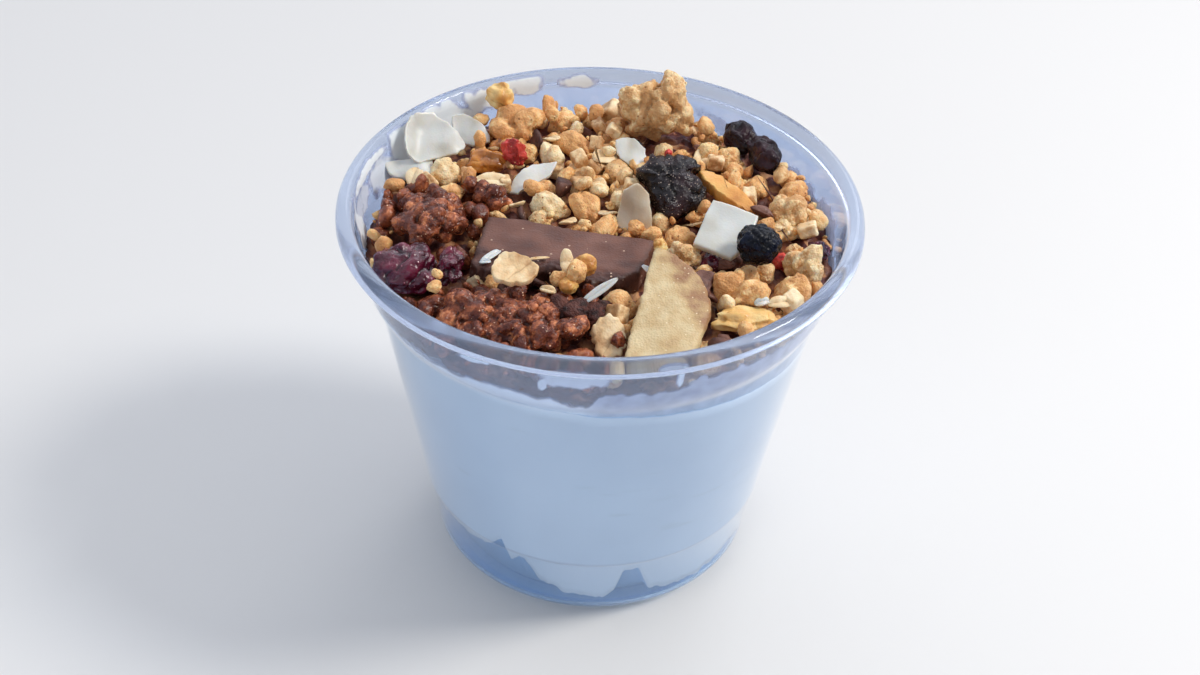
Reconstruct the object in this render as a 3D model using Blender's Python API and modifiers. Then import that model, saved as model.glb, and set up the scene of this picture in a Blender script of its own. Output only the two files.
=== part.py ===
"""A clear cup of yogurt heaped with granola, chocolate, dried fruit and coconut.

Every length is in millimetres until the end of main(), which scales the pieces to metres.
The cup stands on z = 0 with +Z up, and -Y is the side that the toppings are seen from.
"""

import math
import random

import bmesh
import bpy
from mathutils import Euler, Vector, noise
from mathutils.bvhtree import BVHTree

# The cup, a thin turned shell. Outer radius at each height, from the foot to the lip.
RIM_RADIUS = 49.0
RIM_TOP = 77.2
FOOT_FLAT_RADIUS = 26.7
FOOT_CORNER = 4.8
PANEL_RADIUS = 22.4
PANEL_LIFT = 1.2
STACKING_LINE_Z = 16.0
SHOULDER = (42.3, 60.6)
COLLAR_FOOT = (44.3, 64.4)
COLLAR_TOP = (46.3, 73.2)
WALL = 0.8
CUP_STEPS = 40

# The contents.
FIT_GAP = 0.35
YOGURT_LEVEL = 60.8
YOGURT_SLOPE = 0.095
YOGURT_STEPS = 64
POCKET_DEPTH = 3.2
HEAP_LEVEL = 66.5
HEAP_BACK_RISE = 2.4
HEAP_DOME = 0.9
HEAP_UNEVEN = 0.5
HEAP_STEPS = 40

# Height of the yogurt's lower edge on the wall by azimuth, where air is left at the foot.
FOOT_EDGE = (
    (-180, 9.0), (-160, 13.0), (-147, 14.1), (-128, 13.7), (-123, 16.3), (-120, 18.0),
    (-117.5, 12.7), (-112.5, 14.6), (-108, 9.4), (-103, 8.2), (-97.5, 6.0), (-84.5, 5.0),
    (-81, 7.0), (-78.5, 13.4), (-73, 13.6), (-68.5, 6.6), (-61, 5.4), (-45, 4.6),
    (-30, 7.5), (-12, 4.8), (10, 9.0), (35, 5.0), (60, 10.5), (85, 6.0), (110, 11.0),
    (135, 5.5), (160, 10.0), (180, 9.0),
)

RNG = random.Random(12)


def srgb(red, green, blue):
    """A colour as the eye names it, 0 to 255, in the linear values that a shader takes."""
    return tuple(
        v / 12.92 if v <= 0.04045 else ((v + 0.055) / 1.055) ** 2.4
        for v in (red / 255, green / 255, blue / 255)
    )


COLOURS = {
    "clear": srgb(196, 212, 238),
    "yogurt": srgb(206, 219, 238),
    "granola": srgb(205, 160, 110),
    "milk_chocolate": srgb(122, 84, 78),
    "crisps": srgb(112, 60, 42),
    "cranberry": srgb(92, 18, 42),
    "prune": srgb(38, 28, 36),
    "raisin": srgb(70, 34, 34),
    "blueberry": srgb(24, 28, 44),
    "coconut": srgb(232, 228, 214),
    "banana": srgb(228, 200, 146),
    "mango": srgb(240, 180, 84),
    "amber": srgb(206, 140, 60),
    "oat": srgb(232, 200, 150),
    "red_fruit": srgb(160, 34, 44),
}


def material(name, roughness, alpha=1.0):
    """The plain material of one kind of piece, made once."""
    found = bpy.data.materials.get(name)
    if found:
        return found
    made = bpy.data.materials.new(name)
    made.use_nodes = True
    shader = made.node_tree.nodes["Principled BSDF"]
    shader.inputs["Base Color"].default_value = (*COLOURS[name], 1.0)
    shader.inputs["Roughness"].default_value = roughness
    shader.inputs["Metallic"].default_value = 0.0
    shader.inputs["Alpha"].default_value = alpha
    return made


def clear_scene():
    for obj in list(bpy.data.objects):
        bpy.data.objects.remove(obj)


def add_object(name, bm, collection):
    """Closes a bmesh into an object of the collection."""
    bmesh.ops.recalc_face_normals(bm, faces=bm.faces)
    mesh = bpy.data.meshes.new(name)
    bm.to_mesh(mesh)
    bm.free()
    obj = bpy.data.objects.new(name, mesh)
    collection.objects.link(obj)
    return obj


def between(points, x):
    """The value at x on a line through (x, value) points."""
    for (x0, v0), (x1, v1) in zip(points, points[1:]):
        if x <= x1:
            share = (x - x0) / (x1 - x0)
            return v0 + (v1 - v0) * max(0.0, min(1.0, share))
    return points[-1][1]


def outer_wall():
    """(height, outer radius) of the wall from the foot's corner to under the lip."""
    foot_r = FOOT_FLAT_RADIUS + FOOT_CORNER
    line_r = foot_r + (SHOULDER[0] - foot_r) * (STACKING_LINE_Z - FOOT_CORNER) / (
        SHOULDER[1] - FOOT_CORNER
    )
    return [
        (FOOT_CORNER, foot_r),
        (STACKING_LINE_Z - 0.7, line_r - 0.35),
        (STACKING_LINE_Z, line_r + 0.15),
        (SHOULDER[1], SHOULDER[0]),
        (SHOULDER[1] + 1.6, SHOULDER[0] + 0.9),
        (COLLAR_FOOT[1], COLLAR_FOOT[0]),
        (COLLAR_TOP[1], COLLAR_TOP[0]),
    ]


def inner_wall():
    """(height, inner radius) of the wall: the outer wall less its thickness, with no step."""
    points = outer_wall()
    return [(z, r - WALL) for z, r in points[:1] + points[3:4] + points[5:]]


def inner_radius(z):
    """Radius of the cup's inner face at a height."""
    if z < FOOT_CORNER:
        drop = min(1.0, max(0.0, (FOOT_CORNER - z) / (FOOT_CORNER - WALL)))
        corner = FOOT_CORNER - WALL
        return FOOT_FLAT_RADIUS + corner * math.sqrt(max(0.0, 1 - drop * drop))
    return between(inner_wall(), z)


def arc(centre_r, centre_z, radius, start, end, steps):
    """Points on an arc in the profile plane, angles in degrees."""
    points = []
    for k in range(steps + 1):
        angle = math.radians(start + (end - start) * k / steps)
        points.append((centre_r + radius * math.cos(angle), centre_z + radius * math.sin(angle)))
    return points


def cup_profile():
    """Inner floor, inner wall, lip, outer wall and foot, as (radius, height)."""
    profile = [(0.0, PANEL_LIFT + WALL), (PANEL_RADIUS - 0.2, PANEL_LIFT + WALL)]
    profile.append((PANEL_RADIUS + 1.2, WALL))
    profile += arc(FOOT_FLAT_RADIUS, FOOT_CORNER, FOOT_CORNER - WALL, -90, 0, 3)
    profile += [(r, z) for z, r in inner_wall()[1:]]
    profile += [(45.8, RIM_TOP - 1.4), (46.5, RIM_TOP - 0.2), (47.6, RIM_TOP)]
    profile += [(48.8, RIM_TOP - 1.0), (RIM_RADIUS, RIM_TOP - 2.6), (48.3, RIM_TOP - 3.5)]
    profile += [(47.0, RIM_TOP - 3.4)]
    profile += [(r, z) for z, r in reversed(outer_wall()[1:])]
    profile += reversed(arc(FOOT_FLAT_RADIUS, FOOT_CORNER, FOOT_CORNER, -90, 0, 3))
    profile += [(PANEL_RADIUS + 1.4, 0.0), (PANEL_RADIUS, PANEL_LIFT), (0.0, PANEL_LIFT)]
    return profile


def make_cup(collection):
    """The shell, turned from its profile with a Screw modifier."""
    bm = bmesh.new()
    verts = [bm.verts.new((r, 0.0, z)) for r, z in cup_profile()]
    for first, second in zip(verts, verts[1:]):
        bm.edges.new((first, second))
    mesh = bpy.data.meshes.new("cup")
    bm.to_mesh(mesh)
    bm.free()
    cup = bpy.data.objects.new("cup", mesh)
    collection.objects.link(cup)
    screw = cup.modifiers.new("turn", "SCREW")
    screw.axis = "Z"
    screw.angle = 2 * math.pi
    screw.steps = CUP_STEPS
    screw.render_steps = CUP_STEPS
    screw.use_merge_vertices = True
    screw.merge_threshold = 0.0001
    screw.use_normal_calculate = True
    cup.data.materials.append(material("clear", 0.08, 0.35))
    return cup


def spun(profile, steps):
    """A closed body turned from (radius, height) points that start and end on the axis."""
    bm = bmesh.new()
    verts = [bm.verts.new((r, 0.0, z)) for r, z in profile]
    for first, second in zip(verts, verts[1:]):
        bm.edges.new((first, second))
    bmesh.ops.spin(
        bm,
        geom=bm.verts[:] + bm.edges[:],
        axis=(0, 0, 1),
        cent=(0, 0, 0),
        angle=2 * math.pi,
        steps=steps,
        use_merge=True,
    )
    bmesh.ops.remove_doubles(bm, verts=bm.verts, dist=0.0001)
    return bm


def yogurt_top(x, y):
    """Height of the yogurt's surface: it climbs to the left and waves a little."""
    level = YOGURT_LEVEL - YOGURT_SLOPE * x
    return max(57.2, min(63.6, level)) + 0.3 * noise.noise(Vector((x, y, 0)) * 0.08)


def make_yogurt(collection):
    """Yogurt to just inside the wall, with air pockets left at the foot."""
    floor = PANEL_LIFT + WALL + FIT_GAP
    rings = ("axis", "floor", "foot", "under", "edge", "bend", "rim", "rim_in", "top", "axis")
    profile = [(0.0 if ring == "axis" else 20.0, float(k)) for k, ring in enumerate(rings)]
    bm = spun(profile, YOGURT_STEPS)
    for vert in bm.verts:
        ring = rings[round(vert.co.z)]
        angle = math.atan2(vert.co.y, vert.co.x)
        edge = between(FOOT_EDGE, math.degrees(angle))
        if ring == "floor":
            radius, z = 18.0, floor
        elif ring == "foot":
            radius, z = inner_radius(3.0) - FIT_GAP - POCKET_DEPTH - 2.0, floor
        elif ring == "under":
            radius, z = inner_radius(edge - 0.9) - FIT_GAP - POCKET_DEPTH, edge - 0.9
        elif ring == "edge":
            radius, z = inner_radius(edge) - FIT_GAP, edge
        elif ring in ("bend", "rim"):
            z = yogurt_top(40 * math.cos(angle), 40 * math.sin(angle)) - 0.5
            if ring == "bend":
                z = min(z - 0.4, SHOULDER[1])
            radius = inner_radius(z) - FIT_GAP
        elif ring == "rim_in":
            radius = 39.5
            z = yogurt_top(radius * math.cos(angle), radius * math.sin(angle))
        elif ring == "top":
            radius = 20.0
            z = yogurt_top(radius * math.cos(angle), radius * math.sin(angle))
        else:
            radius, z = 0.0, floor if vert.co.z < 1.0 else yogurt_top(0, 0)
        vert.co = Vector((radius * math.cos(angle), radius * math.sin(angle), z))
    yogurt = add_object("yogurt", bm, collection)
    yogurt.data.materials.append(material("yogurt", 0.4))
    return yogurt


def heap_top(x, y):
    """Height of the heap's bare core: a low dome that rises to the back."""
    rise = max(0.0, min(1.0, (y + 5) / 35))
    rise = rise * rise * (3 - 2 * rise)
    dome = 1 - (x * x + y * y) / 43.0**2
    uneven = noise.noise(Vector((x, y, 7.0)) * 0.11)
    return HEAP_LEVEL + HEAP_BACK_RISE * rise + HEAP_DOME * dome + HEAP_UNEVEN * uneven


def heap_core():
    """The heap without its loose pieces: from just over the yogurt up to heap_top."""
    under = ((0.0, "axis"), (26.0, "low"), (0.0, "wall"), (0.0, "bend"), (0.0, "collar"))
    over = ((0.0, "brim"), (37.0, "up"), (28.0, "up"), (18.0, "up"), (8.0, "up"))
    steps = under + over + ((0.0, "axis"),)
    bm = spun(
        [(0.0 if kind == "axis" else 20.0, float(k)) for k, (_, kind) in enumerate(steps)],
        HEAP_STEPS,
    )
    last = len(steps) - 1
    for vert in bm.verts:
        k = round(vert.co.z)
        radius, kind = steps[k]
        angle = math.atan2(vert.co.y, vert.co.x)
        across, along = math.cos(angle), math.sin(angle)
        if kind == "axis":
            z = heap_top(0, 0) if k == last else yogurt_top(0, 0) + FIT_GAP
            vert.co = Vector((0, 0, z))
            continue
        if kind == "low":
            z = yogurt_top(radius * across, radius * along) + FIT_GAP
        elif kind in ("wall", "bend"):
            z = yogurt_top(41 * across, 41 * along) + FIT_GAP
            if kind == "bend":
                z = max(z + 0.3, SHOULDER[1])
            radius = inner_radius(z) - FIT_GAP
        elif kind == "collar":
            z = COLLAR_FOOT[1] + 0.2
            radius = inner_radius(z) - FIT_GAP
        elif kind == "brim":
            z = heap_top(43 * across, 43 * along) - 0.6
            radius = inner_radius(z) - FIT_GAP
        else:
            z = heap_top(radius * across, radius * along)
        vert.co = Vector((radius * across, radius * along, z))
    return bm


def lump(size, seed, rough=0.22, wave=1.5, detail=2):
    """An uneven rounded piece of this length, width and height. Detail 0 has few sides."""
    bm = bmesh.new()
    if detail == 0:
        bmesh.ops.create_uvsphere(bm, u_segments=6, v_segments=4, radius=1.0)
    else:
        bmesh.ops.create_icosphere(bm, subdivisions=detail, radius=1.0)
    shift = Vector((seed * 3.7, seed * 1.9, seed * 5.3))
    for vert in bm.verts:
        way = vert.co.normalized()
        reach = 1 + rough * noise.noise(way * wave + shift)
        vert.co = way * reach
    for i in range(3):
        low = min(vert.co[i] for vert in bm.verts)
        high = max(vert.co[i] for vert in bm.verts)
        for vert in bm.verts:
            vert.co[i] = ((vert.co[i] - low) / (high - low) - 0.5) * size[i]
    return bm


def spread(outline, count):
    """count points along a closed outline, with its corners kept."""
    ends = outline[1:] + outline[:1]
    sides = [math.dist(a, b) for a, b in zip(outline, ends)]
    total = sum(sides)
    points = []
    for k in range(count):
        run = total * k / count
        for a, b, side in zip(outline, ends, sides):
            if run <= side:
                points.append([a[i] + (b[i] - a[i]) * run / side for i in range(2)])
                break
            run -= side
    for corner in outline:
        nearest = min(range(count), key=lambda k: math.dist(points[k], corner))
        points[nearest] = list(corner)
    return points


def plate(outline, thickness, dish=(0.0, 0.0), warp=0.3, seed=1, count=16):
    """A thin piece with this outline, dished along X and Y and warped a little."""
    rim = spread(list(outline), count)
    middle = [sum(p[i] for p in rim) / count for i in range(2)]
    bm = bmesh.new()
    spoke = [bm.verts.new((r, 0.0, 0.0)) for r in (0.0, 0.55, 1.0)]
    for first, second in zip(spoke, spoke[1:]):
        bm.edges.new((first, second))
    bmesh.ops.spin(
        bm,
        geom=bm.verts[:] + bm.edges[:],
        axis=(0, 0, 1),
        cent=(0, 0, 0),
        angle=2 * math.pi,
        steps=count,
        use_merge=True,
    )
    bmesh.ops.remove_doubles(bm, verts=bm.verts, dist=0.0001)
    for vert in bm.verts:
        share = math.hypot(vert.co.x, vert.co.y)
        turn = math.atan2(vert.co.y, vert.co.x) / (2 * math.pi) * count
        point = rim[round(turn) % count]
        x, y = (middle[i] + (point[i] - middle[i]) * share for i in range(2))
        z = dish[0] * x * x + dish[1] * y * y
        z += warp * noise.noise(Vector((x * 0.2, y * 0.2, seed * 2.7)))
        vert.co = Vector((x, y, z))
    bmesh.ops.recalc_face_normals(bm, faces=bm.faces)
    bmesh.ops.solidify(bm, geom=bm.faces[:], thickness=thickness)
    return bm


def moved(bm, spot, turn=(0, 0, 0)):
    """Turns a piece by degrees about X, Y and Z, then moves it to its spot."""
    matrix = Euler([math.radians(a) for a in turn]).to_matrix()
    for vert in bm.verts:
        vert.co = matrix @ vert.co + Vector(spot)
    return bm


def fused(name, core, pieces, collection):
    """One solid from a core and the pieces on it, with one Boolean union."""
    group = bpy.data.collections.new("pieces_of_" + name)
    bpy.context.scene.collection.children.link(group)
    for k, piece in enumerate(pieces):
        add_object(f"{name}_piece_{k}", piece, group)
    made = add_object(name, core, collection)
    union = made.modifiers.new("fuse", "BOOLEAN")
    union.operation = "UNION"
    union.operand_type = "COLLECTION"
    union.collection = group
    union.solver = "EXACT"
    graph = bpy.context.evaluated_depsgraph_get()
    mesh = bpy.data.meshes.new_from_object(made.evaluated_get(graph))
    made.modifiers.clear()
    made.data = mesh
    for helper in list(group.objects):
        bpy.data.objects.remove(helper)
    bpy.data.collections.remove(group)
    keep_largest(made)
    return made


def keep_largest(obj):
    """Drops any scrap or sealed hollow that a union leaves beside the solid."""
    bm = bmesh.new()
    bm.from_mesh(obj.data)
    bmesh.ops.remove_doubles(bm, verts=bm.verts, dist=0.002)
    bmesh.ops.triangulate(bm, faces=bm.faces)
    waiting = set(bm.faces)
    islands = []
    while waiting:
        island, edge_of = set(), [waiting.pop()]
        while edge_of:
            face = edge_of.pop()
            island.add(face)
            for edge in face.edges:
                for other in edge.link_faces:
                    if other in waiting:
                        waiting.remove(other)
                        edge_of.append(other)
        islands.append(island)
    islands.sort(key=len)
    for island in islands[:-1]:
        bmesh.ops.delete(bm, geom=list(island), context="FACES")
    bm.to_mesh(obj.data)
    bm.free()


class Bed:
    """What a new piece can come to rest on: the core and the pieces laid before it."""

    def __init__(self):
        self.laid = []

    def add(self, bm):
        bmesh.ops.recalc_face_normals(bm, faces=bm.faces)
        self.laid.append((BVHTree.FromBMesh(bm), samples(bm)))

    def gap_under(self, bm):
        """The smallest upright distance from this bed to the piece over it."""
        tree = BVHTree.FromBMesh(bm)
        points = samples(bm)
        gap = 100.0
        for other, other_points in self.laid:
            for point in points:
                hit = other.ray_cast(Vector((point.x, point.y, 200.0)), Vector((0, 0, -1)))[0]
                if hit is not None:
                    gap = min(gap, point.z - hit.z)
            for point in other_points:
                hit = tree.ray_cast(Vector((point.x, point.y, -200.0)), Vector((0, 0, 1)))[0]
                if hit is not None:
                    gap = min(gap, hit.z - point.z)
        return gap

    def meets(self, bm):
        tree = BVHTree.FromBMesh(bm)
        return any(tree.overlap(other) for other, _ in self.laid)

    def holds(self, point):
        """Whether a point is inside something laid on the bed."""
        for tree, _ in self.laid:
            hit, normal, _, _ = tree.ray_cast(point, Vector((0, 0, 1)))
            if hit is not None and normal.z > 0:
                return True
        return False


def samples(bm):
    """Points all over a piece: its corners, edge middles and face middles."""
    points = [vert.co.copy() for vert in bm.verts]
    for edge in bm.edges:
        first, second = (vert.co for vert in edge.verts)
        for share in (0.25, 0.5, 0.75):
            points.append(first.lerp(second, share))
    points += [face.calc_center_median() for face in bm.faces]
    return points


def inside_wall(bm):
    """Slides a piece towards the axis until it clears the cup's wall."""
    excess, way = 0.0, None
    for vert in bm.verts:
        z = vert.co.z
        reach = math.hypot(vert.co.x, vert.co.y)
        limit = 45.4 if z > COLLAR_TOP[1] else inner_radius(z)
        if z < RIM_TOP + 0.4 and reach + FIT_GAP + 0.1 - limit > excess:
            excess = reach + FIT_GAP + 0.1 - limit
            way = Vector((vert.co.x, vert.co.y, 0)).normalized()
    if way is not None:
        for vert in bm.verts:
            vert.co -= way * excess
    return excess


def rest(bm, bed, prop=0.0):
    """Lowers or lifts a piece to just over the bed, or propped above it, clear of the wall."""
    for _ in range(6):
        lift = FIT_GAP + prop - bed.gap_under(bm)
        for vert in bm.verts:
            vert.co.z += lift
        if inside_wall(bm) < 0.001:
            break
    while bed.meets(bm):
        for vert in bm.verts:
            vert.co.z += 0.15
    return bm


# The separate toppings: name, colour, x, y, turn about X, Y, Z in degrees, and shape.
SLAB = (31.8, 14.6, 4.6)
SLAB_SPOT = (-6.9, -8.2)
SLAB_TURN = (-1.5, 0.5, -12.3)
SHRED = ((-1.9, -2.6), (-0.6, -3.2), (1.4, 0.4), (2.0, 3.0), (0.2, 2.4), (-0.8, 0.4))
WEDGE = ((-1.6, 15.2), (1.8, 13.4), (5.5, 10.3), (7.8, 5.8), (8.5, 0.8), (7.0, -4.5),
         (5.6, -9.5), (3.0, -13.4), (-2.0, -14.4), (-7.0, -13.9), (-6.4, -6.5), (-4.3, 3.0),
         (-3.1, 10.2))
SQUARE = ((-2.4, 6.0), (6.0, 2.8), (4.6, -1.8), (1.1, -6.2), (-6.0, -3.5))
CHIP_LEFT = ((-5.6, 3.2), (-1.6, 5.2), (3.5, 2.9), (5.7, 0.5), (4.4, -1.6), (0.5, -4.0),
             (-2.0, -5.6), (-4.4, -4.6), (-5.9, -1.0))
CHIP_WALL = ((-4.6, 1.0), (-1.6, 2.3), (4.1, 3.2), (4.8, 0.0), (3.9, -2.2), (-0.3, -1.8),
             (-3.6, -1.0))
CHIP_BACK = ((-3.7, 1.8), (-1.5, 3.1), (2.4, 1.6), (4.5, -1.6), (1.1, -3.0), (-2.0, -2.4))
CHIP_MIDDLE = ((-4.6, -3.1), (-3.6, -0.2), (-0.3, 3.3), (4.6, 4.3), (3.2, 1.1), (-0.1, -1.4),
               (-2.7, -3.9))
CHIP_UPRIGHT = ((-2.4, 3.4), (0.2, 4.7), (2.4, 2.5), (3.2, -3.5), (-0.2, -4.4), (-3.7, -3.7))
CHIP_SMALL = ((-3.0, 2.1), (0.3, 2.8), (2.6, 0.9), (3.2, -2.0), (0.5, -3.2), (-2.4, -1.4))
STRIP = ((-5.5, 5.1), (-2.8, 5.3), (0.2, 3.2), (3.6, -0.9), (5.4, -4.5), (3.9, -5.4),
         (0.9, -4.2), (-2.5, -0.7), (-5.1, 2.4))
FLAKE = ((-3.1, 2.4), (-1.0, 3.9), (1.1, 3.4), (2.9, 1.4), (3.0, -1.5), (1.3, -3.5),
         (-1.8, -3.7), (-2.9, -1.7))
OAT = ((-3.9, -0.4), (-2.6, 2.7), (-0.2, 3.0), (2.8, 1.8), (4.1, -0.5), (2.6, -2.7),
       (-0.5, -3.2), (-2.9, -2.5))


def slab_bar():
    """The chocolate: a bar end with bevelled edges and one rough, broken long side."""
    bm = bmesh.new()
    bmesh.ops.create_cube(bm, size=1.0)
    for vert in bm.verts:
        vert.co = Vector(vert.co[i] * SLAB[i] for i in range(3))
    bmesh.ops.bevel(
        bm, geom=bm.edges[:], offset=0.5, segments=1, profile=0.5, affect="EDGES", material=-1
    )
    long_edges = [e for e in bm.edges if e.calc_length() > 20]
    bmesh.ops.subdivide_edges(bm, edges=long_edges, cuts=7, use_grid_fill=True)
    for vert in bm.verts:
        if vert.co.y < 0 and abs(vert.co.x) < 15:
            vert.co.y += 0.9 * noise.noise(Vector((vert.co.x * 0.45, vert.co.z * 0.3, 4.0)))
    return bm


def slab_crumbs():
    """The small pieces lying on the chocolate: three bits of cereal and a coconut shred."""
    top = SLAB[2] / 2
    bits = [
        moved(lump((2.2, 2.0, 4.4), 31, 0.2, 1.5, 0), (4.2, -4.4, top + 1.2), (10, 8, 0)),
        moved(lump((4.0, 3.2, 3.8), 32, 0.3, 1.8, 0), (7.4, -4.8, top + 1.0), (0, 0, 20)),
        moved(lump((4.6, 3.8, 4.4), 33, 0.3, 1.8, 0), (5.2, -7.4, top - 0.6), (0, 0, 50)),
    ]
    bits.append(moved(plate(SHRED, 0.8, (0, 0), 0.0, 3, 6), (-11.6, -1.6, top + 0.2), (0, 0, 12)))
    return bits


def relay(obj, spot, turn, bed):
    """Turns and rests an object that was fused about its own middle."""
    bm = bmesh.new()
    bm.from_mesh(obj.data)
    rest(moved(bm, (spot[0], spot[1], 80.0), turn), bed)
    bed.add(bm)
    bm.to_mesh(obj.data)
    bm.free()


def cluster(name, size, spot, turn, kernels, count, seed, collection, bed):
    """Kernels stuck all over a small core, as one solid resting on the bed."""
    rng = random.Random(seed)
    core = lump([0.84 * s for s in size], seed, rough=0.15, detail=0 if count < 10 else 2)
    pieces = []
    for k in range(count):
        height = 1 - 1.45 * (k + 0.5) / count
        around = k * 2.39996 + rng.uniform(-0.2, 0.2)
        flat = math.sqrt(1 - height * height)
        way = Vector((flat * math.cos(around), flat * math.sin(around), height))
        grain = kernels * rng.uniform(0.85, 1.2)
        place = Vector(way[i] * (size[i] - grain * 0.9) / 2 for i in range(3))
        shape = (grain * rng.uniform(1.0, 1.3), grain, grain * rng.uniform(0.8, 1.0))
        angles = [rng.uniform(0, 180) for _ in range(3)]
        pieces.append(moved(lump(shape, seed + k, 0.25, detail=1), place, angles))
    made = fused(name, core, pieces, collection)
    relay(made, spot, turn, bed)
    return made


def lay(name, bm, collection, bed, prop):
    """Rests a piece on the bed, or this far above it, as an object of its own."""
    rest(bm, bed, prop)
    bed.add(bm)
    return add_object(name, bm, collection)


def paint(obj, colour, roughness):
    obj.data.materials.append(material(colour, roughness))


# Clusters: name, colour, size, place, turn, kernel size and number of kernels.
CLUSTERS = (
    ("crisp_cluster_front", "crisps", (28.6, 17, 7.8), (-15.4, -28.8), (2, 0, -20), 5.4, 13),
    ("crisp_cluster_left", "crisps", (14.5, 16.5, 9.5), (-31.6, -0.6), (0, 0, 12), 5.0, 10),
    ("crisp_cluster_small", "crisps", (9, 5.5, 5), (-18.2, 7.4), (0, 0, -10), 3.6, 4),
    ("granola_cluster_back", "granola", (16.5, 12, 15), (10.4, 33.6), (8, 0, 0), 7.0, 10),
    ("granola_cluster_left", "granola", (11.5, 8.5, 7.5), (-16.5, 31.5), (0, 0, 15), 5.8, 5),
    ("granola_lump_right", "granola", (11.6, 7, 6.4), (27.2, -17.2), (0, 0, 4), 5.2, 4),
    ("granola_lump_corner", "granola", (8.8, 7.5, 6.6), (37.0, -6.4), (0, 0, 10), 5.0, 4),
    ("granola_lump_far", "granola", (8.8, 8, 7.5), (35.4, 10.5), (0, 0, 0), 5.0, 4),
)

# Single pieces, in the order they are laid: name, colour, kind, shape, place (x, y and how far
# it is propped up on loose cereal), turn. A lump has a size, an unevenness and a seed, and a
# plate has an outline, a thickness, a dishing along X and Y and a number of corners.
PIECES = (
    ("chocolate_chunk", "milk_chocolate", "lump", ((7.2, 8, 5.5), 0.5, 3), (16.9, -17.6, 0), (0, 0, 0)),
    ("cranberry_left", "cranberry", "lump", ((12, 10.6, 8.4), 0.3, 5), (-34.6, -15.4, 0), (0, 10, 12)),
    ("cranberry_lobe", "cranberry", "lump", ((4.8, 7.6, 6), 0.3, 6), (-26.6, -15.6, 0), (0, 0, -6)),
    ("cranberry_right", "cranberry", "lump", ((5, 4.6, 4.2), 0.3, 7), (40.8, 0.6, 0.8), (0, 0, 0)),
    ("prune_piece", "prune", "lump", ((12, 11.5, 8), 0.4, 8), (13.3, 11.8, 0), (10, -6, -25)),
    ("raisin_back", "raisin", "lump", ((6.2, 7.8, 6), 0.3, 9), (27.4, 30.4, 1.2), (0, 0, 20)),
    ("raisin_side", "raisin", "lump", ((5.8, 9, 6), 0.3, 10), (32.4, 22.4, 1.2), (0, 0, 25)),
    ("granola_lump_edge", "granola", "lump", ((6.8, 6.2, 5.8), 0.3, 11), (37.0, -14.4, 0), (0, 0, -30)),
    ("granola_lump_middle", "granola", "lump", ((7.4, 7, 6.6), 0.35, 12), (14.2, -6.0, 0), (0, 0, 0)),
    ("coconut_chip_wall", "coconut", "plate",
     (CHIP_WALL, 1, (0, -0.04), 12), (-36.4, 16, 1), (22, 6, 0)),
    ("coconut_chip_left", "coconut", "plate",
     (CHIP_LEFT, 1, (0.02, 0.02), 14), (-32.4, 24, 0), (29, 19, 0)),
    ("coconut_chip_back", "coconut", "plate",
     (CHIP_BACK, 1, (0.02, 0), 10), (-26.6, 29.8, 1), (35, 11, 0)),
    ("coconut_chip_middle", "coconut", "plate",
     (CHIP_MIDDLE, 1, (-0.02, 0), 12), (-13.3, 14.2, 1.2), (19, 0, 0)),
    ("coconut_chip_upright", "coconut", "plate",
     (CHIP_UPRIGHT, 1, (-0.04, 0), 10), (6.6, 3.0, 1), (68, 0, 0)),
    ("coconut_chip_small", "coconut", "plate",
     (CHIP_SMALL, 1, (-0.03, 0), 10), (5.5, 24, 1), (31, 0, 0)),
    ("coconut_square", "coconut", "plate", (SQUARE, 1.5, (0, 0), 10), (23.8, -2.4, 1.6), (24, 0, 0)),
    ("mango_strip", "mango", "plate", (STRIP, 3, (0, 0), 12), (24.6, 12.2, 1.6), (11, 0, 0)),
    ("corn_flake_front", "oat", "plate", (FLAKE, 1.5, (-0.05, 0.03), 12), (2.2, -32.6, 0), (38, 0, 10)),
    ("banana_chip", "banana", "plate", (WEDGE, 2.2, (-0.01, 0), 16), (11.6, -28.4, 0), (10, 0, 0)),
    ("oat_flake", "oat", "plate", (OAT, 1.6, (0.03, 0.03), 10), (-15, -21.4, 0), (19, 0, 0)),
    ("blueberry", "blueberry", "lump", ((8.4, 8, 7.6), 0.1, 14), (29.9, -7.4, 0), (0, 0, 0)),
    ("corn_flake_right", "mango", "lump", ((12.6, 5.6, 4), 0.35, 15), (26.4, -25.6, 0.8), (20, 0, 4)),
    ("golden_raisin", "amber", "lump", ((7.8, 5.4, 5), 0.25, 16), (-22.6, 19.8, 0), (0, 0, 0)),
    ("yellow_fruit", "mango", "lump", ((5.8, 4.8, 6), 0.25, 17), (-20.8, 36.4, 0), (0, 0, 0)),
    ("red_fruit", "red_fruit", "lump", ((4.8, 3.4, 6.4), 0.25, 18), (-17.0, 19.4, 0), (0, -20, 0)),
)


def make_toppings(collection, bed):
    """The pieces as large as berries, lowest first, each resting on what was laid before."""
    slab = fused("chocolate_slab", slab_bar(), slab_crumbs(), collection)
    paint(slab, "milk_chocolate", 0.45)
    relay(slab, SLAB_SPOT, SLAB_TURN, bed)
    for k, (name, colour, size, spot, turn, kernels, count) in enumerate(CLUSTERS):
        made = cluster(name, size, (*spot, 78.0), turn, kernels, count, 11 + k, collection, bed)
        paint(made, colour, 0.4)
    for name, colour, kind, shape, spot, turn in PIECES:
        if kind == "lump":
            size, rough, seed = shape
            bm = lump(size, seed, rough, 1.8)
        else:
            outline, thick, dish, count = shape
            bm = plate(outline, thick, dish, 0.4, len(name), count)
        bm = moved(bm, (spot[0], spot[1], 80.0), turn)
        paint(lay(name, bm, collection, bed, spot[2]), colour, 0.4)


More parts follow.
